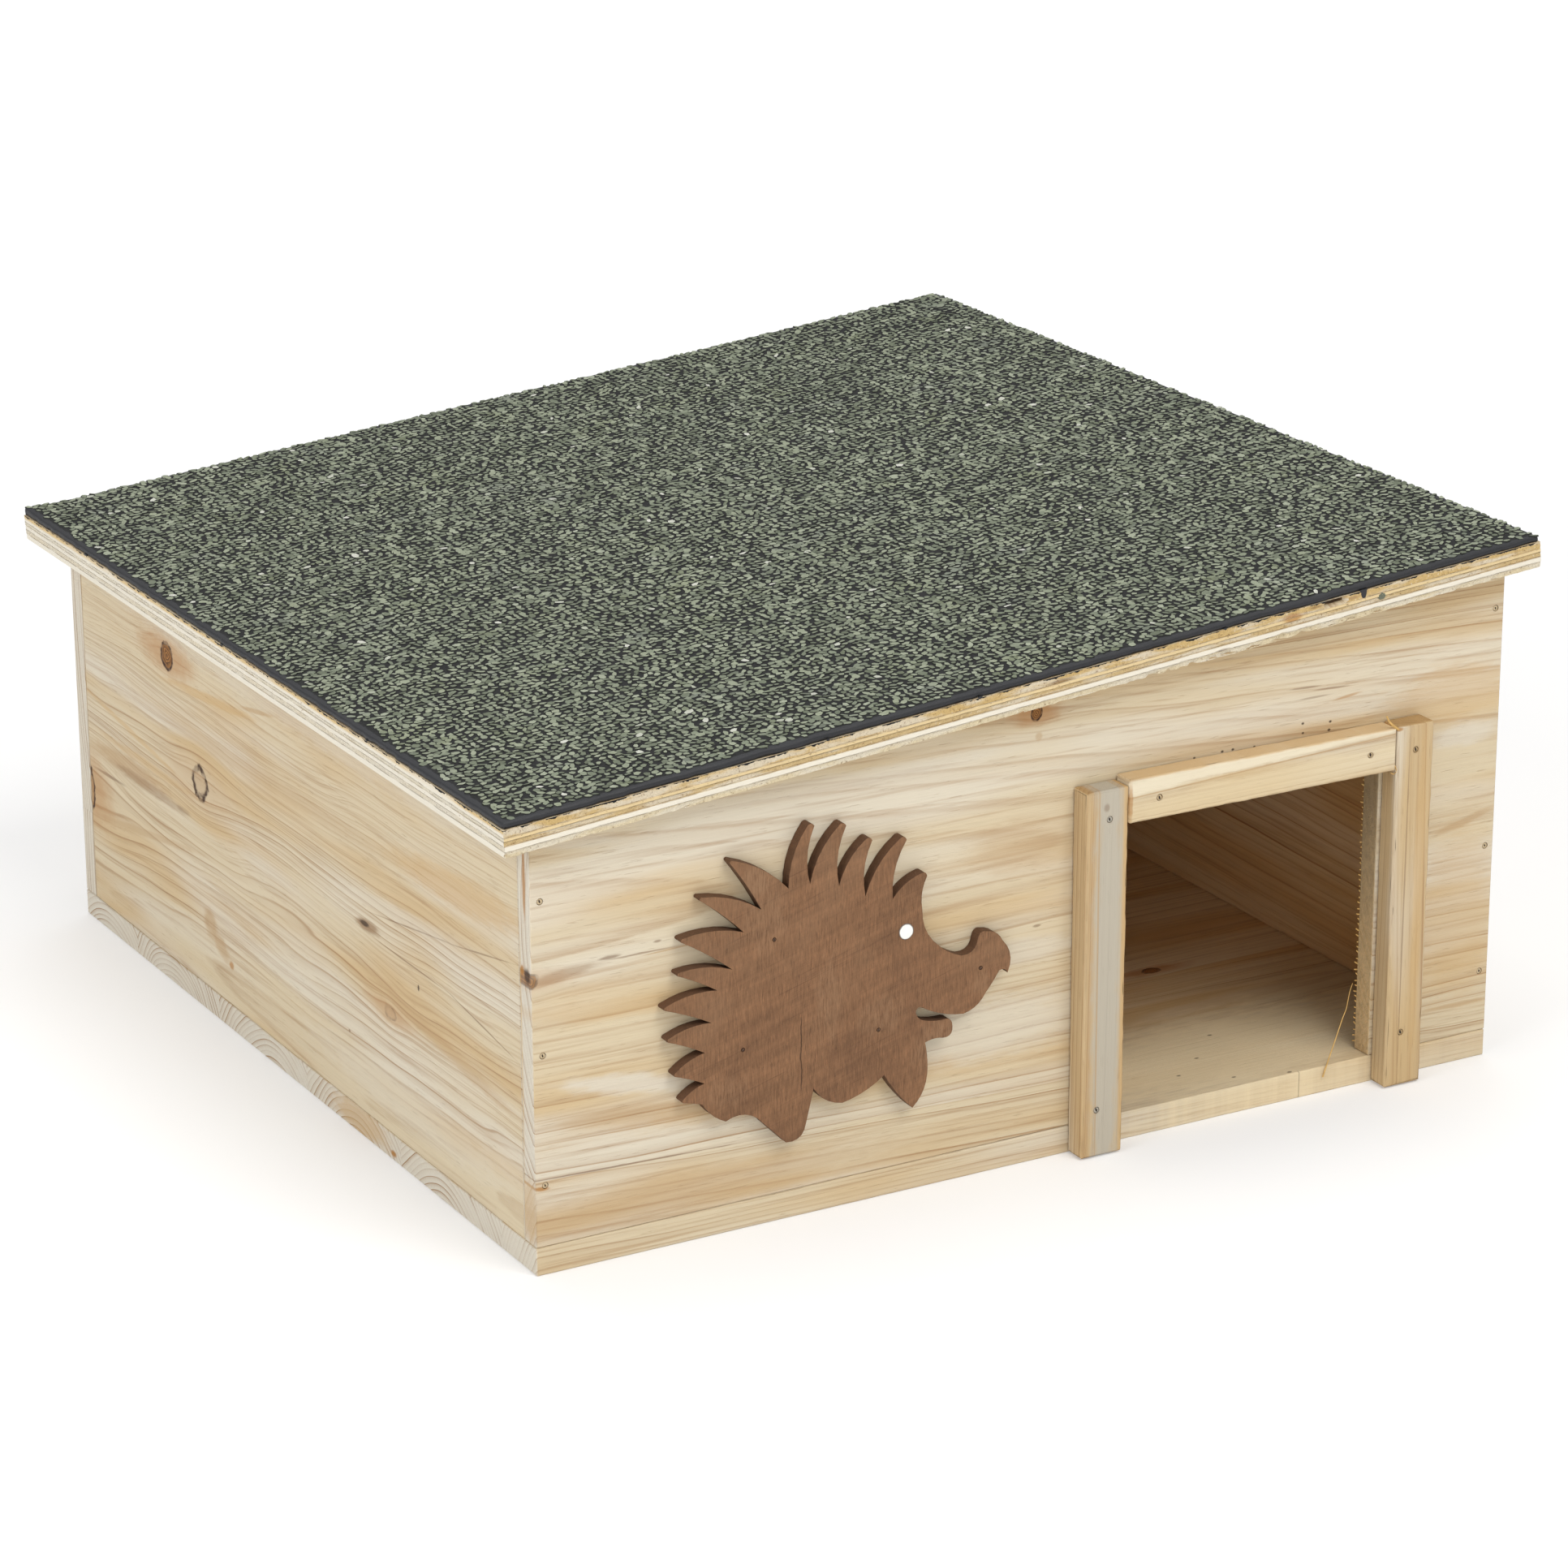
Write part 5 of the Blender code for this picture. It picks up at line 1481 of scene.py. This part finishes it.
def driven_material(name, shade, slit):
    """Head of a driven nail: wood dust pressed over it, with the dark steel showing in a short slit."""
    material, tree = new_material(f"{name}_head")
    x, _, z, place = millimetres(tree)
    middle = middle_of(name)
    side = x - middle.x
    up = z - middle.z
    uneven = cloud(place, (1.1, 1.1, 1.1), 4.0, 0.7) - 0.5
    slant = muladd(up, 0.3, side)
    far = calc("SQRT", slant * slant * 4.2 + up * up * 1.1)
    bare = rise(muladd(uneven, 1.5, far), 1.05 * slit, 0.7 * slit)
    colour = blend(bare, shade_of(uneven, tint(*shade), 0.1), colours().nail)
    return finished(material, (muladd(bare, -1.5, uneven), 0.2, 0.8), Base_Color=colour, Roughness=0.7,
                    Specular_IOR_Level=0.3)


# Nails whose heads show: the colour of the wood dust on them, and how much of the steel is bare.
SEEN_NAILS = {"front_panel_nail": ((196, 176, 142), 0.7), "left_door_rail_nail": (GREY, 1.0),
              "right_door_rail_nail": ((176, 150, 110), 1.0), "door_lintel_nail": ((190, 168, 132), 1.0),
              "figure_pin": ((104, 76, 57), 0.5)}


def build_hardware():
    """Finishes of the hinges, screws and nails, whose solids stay."""
    zinc = metal_material("plated_hinge", colours().zinc, 0.10, 0.36)
    steel = metal_material("nail_steel", (0.13, 0.10, 0.08), 0.20, 0.5)
    for name, node in frame["nodes"].items():
        stem = name.rsplit("_", 1)[0]
        if stem in SEEN_NAILS:
            material = driven_material(name, *SEEN_NAILS[stem])
        elif "hinge" in name:
            material = zinc
        elif "nail" in name or "pin" in name:
            material = steel
        else:
            continue
        for place in node.material_slots:
            place.material = material


# Lights: name, place, width, power in watts and colour.
LIGHTS = (("front_light", (0.3, -1.8, 2.4), 1.6, 39.5, (1.0, 0.98, 0.95)),
          ("fill_light", (-0.9, -2.3, 0.5), 1.0, 6.5, (1.0, 0.985, 0.96)),
          ("left_light", (-2.6, -0.6, 1.6), 1.8, 32.5, (0.97, 0.98, 1.0)),
          ("top_light", (0.2, 0.8, 3.0), 2.0, 28.6, (1.0, 1.0, 1.0)))
LIGHTS_AIM = Vector((0.0, 0.0, 0.1))


def aim_camera():
    """Camera at the photograph's place."""
    forward = Vector((-math.sin(AZIMUTH) * math.cos(ELEVATION), math.cos(AZIMUTH) * math.cos(ELEVATION),
                      -math.sin(ELEVATION)))
    level = Vector((math.cos(AZIMUTH), math.sin(AZIMUTH), 0.0))
    upright = level.cross(forward)
    right = level * math.cos(ROLL) - upright * math.sin(ROLL)
    up = level * math.sin(ROLL) + upright * math.cos(ROLL)
    data = bpy.data.cameras.new("camera")
    data.lens, data.sensor_width, data.sensor_height = LENS, SENSOR, SENSOR
    data.clip_start, data.clip_end = 0.05, 100.0
    camera = add_object("camera", data)
    turn = Matrix((right, up, -forward)).transposed().to_4x4()
    camera.matrix_world = Matrix.Translation(CAMERA_PLACE) @ turn
    bpy.context.scene.camera = camera


def add_light(name, place, size, power, shade):
    """Soft square light that looks at the house."""
    data = bpy.data.lights.new(name, "AREA")
    data.shape, data.size, data.energy, data.color = "SQUARE", size, power, shade
    light = add_object(name, data)
    light.location = place
    light.rotation_mode = "QUATERNION"
    light.rotation_quaternion = (LIGHTS_AIM - Vector(place)).to_track_quat("-Z", "Y")


def build_stage():
    """Pale floor, soft lights and the camera."""
    material, tree = new_material("studio_floor")
    place = millimetres(tree)[3]
    colour = shade_of(cloud(place, (0.002, 0.002, 0.002)), colours().studio, 0.01)
    far = result("ShaderNodeVectorMath", {0: place}, "Value", operation="LENGTH")
    glow = blend(rise(far, 700.0, 3600.0), (0.22, 0.22, 0.22), (0.8, 0.8, 0.8))
    finished(material, Base_Color=colour, Roughness=0.9, Specular_IOR_Level=0.1, Emission_Color=glow,
             Emission_Strength=1.0)
    bm = bmesh.new()
    bmesh.ops.create_grid(bm, x_segments=8, y_segments=8, size=sizes().floor_size / 2)
    mesh = mesh_of("studio_floor", bm)
    mesh.materials.append(material)
    floor = add_object("studio_floor", mesh)
    world = bpy.data.worlds.new("studio")
    world.use_nodes = True
    background = world.node_tree.nodes["Background"]
    background.inputs[0].default_value = (1.0, 1.0, 1.0, 1.0)
    background.inputs[1].default_value = 0.5
    bpy.context.scene.world = world
    bpy.context.scene.view_settings.view_transform = "Standard"
    for light in LIGHTS:
        add_light(*light)
    aim_camera()


# Add-on

class HEDGEHOG_HOUSE_OT_groups(bpy.types.Operator):
    """Make the shader node groups that the finishes share"""
    bl_idname = "hedgehog_house.groups"
    bl_label = "Shader Groups"

    def execute(self, context):
        make_groups()
        return {"FINISHED"}


class HEDGEHOG_HOUSE_OT_stage(bpy.types.Operator):
    """Make the floor, the lights and the camera"""
    bl_idname = "hedgehog_house.stage"
    bl_label = "Stage"

    def execute(self, context):
        build_stage()
        return {"FINISHED"}


class HEDGEHOG_HOUSE_OT_boards(bpy.types.Operator):
    """Work the walls, the partition and the floor board"""
    bl_idname = "hedgehog_house.boards"
    bl_label = "Boards"

    def execute(self, context):
        build_boards()
        return {"FINISHED"}


class HEDGEHOG_HOUSE_OT_battens(bpy.types.Operator):
    """Work the rails and the lintel round the entrance"""
    bl_idname = "hedgehog_house.battens"
    bl_label = "Battens"

    def execute(self, context):
        build_battens()
        return {"FINISHED"}


class HEDGEHOG_HOUSE_OT_figure(bpy.types.Operator):
    """Work the stained figure and paint its eye"""
    bl_idname = "hedgehog_house.figure"
    bl_label = "Figure"

    def execute(self, context):
        build_figure()
        return {"FINISHED"}


class HEDGEHOG_HOUSE_OT_roof_board(bpy.types.Operator):
    """Make the plywood roof board and its splinters"""
    bl_idname = "hedgehog_house.roof_board"
    bl_label = "Roof Board"

    def execute(self, context):
        build_roof_board()
        return {"FINISHED"}


class HEDGEHOG_HOUSE_OT_felt(bpy.types.Operator):
    """Make the felt and scatter its slate flakes"""
    bl_idname = "hedgehog_house.felt"
    bl_label = "Roof Felt"

    def execute(self, context):
        build_felt()
        return {"FINISHED"}


class HEDGEHOG_HOUSE_OT_hardware(bpy.types.Operator):
    """Finish the hinges, the screws and the nails"""
    bl_idname = "hedgehog_house.hardware"
    bl_label = "Hardware"

    def execute(self, context):
        build_hardware()
        return {"FINISHED"}


STEPS = (
    HEDGEHOG_HOUSE_OT_groups,
    HEDGEHOG_HOUSE_OT_stage,
    HEDGEHOG_HOUSE_OT_boards,
    HEDGEHOG_HOUSE_OT_battens,
    HEDGEHOG_HOUSE_OT_figure,
    HEDGEHOG_HOUSE_OT_roof_board,
    HEDGEHOG_HOUSE_OT_felt,
    HEDGEHOG_HOUSE_OT_hardware,
)


class HEDGEHOG_HOUSE_PT_panel(bpy.types.Panel):
    """Steps, sizes and colours of the hedgehog house"""
    bl_label = "Hedgehog House"
    bl_space_type = "VIEW_3D"
    bl_region_type = "UI"
    bl_category = "Hedgehog House"

    def draw(self, context):
        for step in STEPS:
            self.layout.operator(step.bl_idname)
        for group in (context.scene.hedgehog_house_sizes, context.scene.hedgehog_house_colours):
            box = self.layout.box()
            for key in group.__annotations__:
                box.prop(group, key)


CLASSES = (HouseSizes, HouseColours, *STEPS, HEDGEHOG_HOUSE_PT_panel)


def register():
    for item in CLASSES:
        bpy.utils.register_class(item)
    bpy.types.Scene.hedgehog_house_sizes = bpy.props.PointerProperty(type=HouseSizes)
    bpy.types.Scene.hedgehog_house_colours = bpy.props.PointerProperty(type=HouseColours)


def unregister():
    del bpy.types.Scene.hedgehog_house_colours
    del bpy.types.Scene.hedgehog_house_sizes
    for item in reversed(CLASSES):
        bpy.utils.unregister_class(item)


def main():
    register()
    for step in STEPS:
        family, name = step.bl_idname.split(".")
        getattr(getattr(bpy.ops, family), name)()


if __name__ == "__main__":
    main()
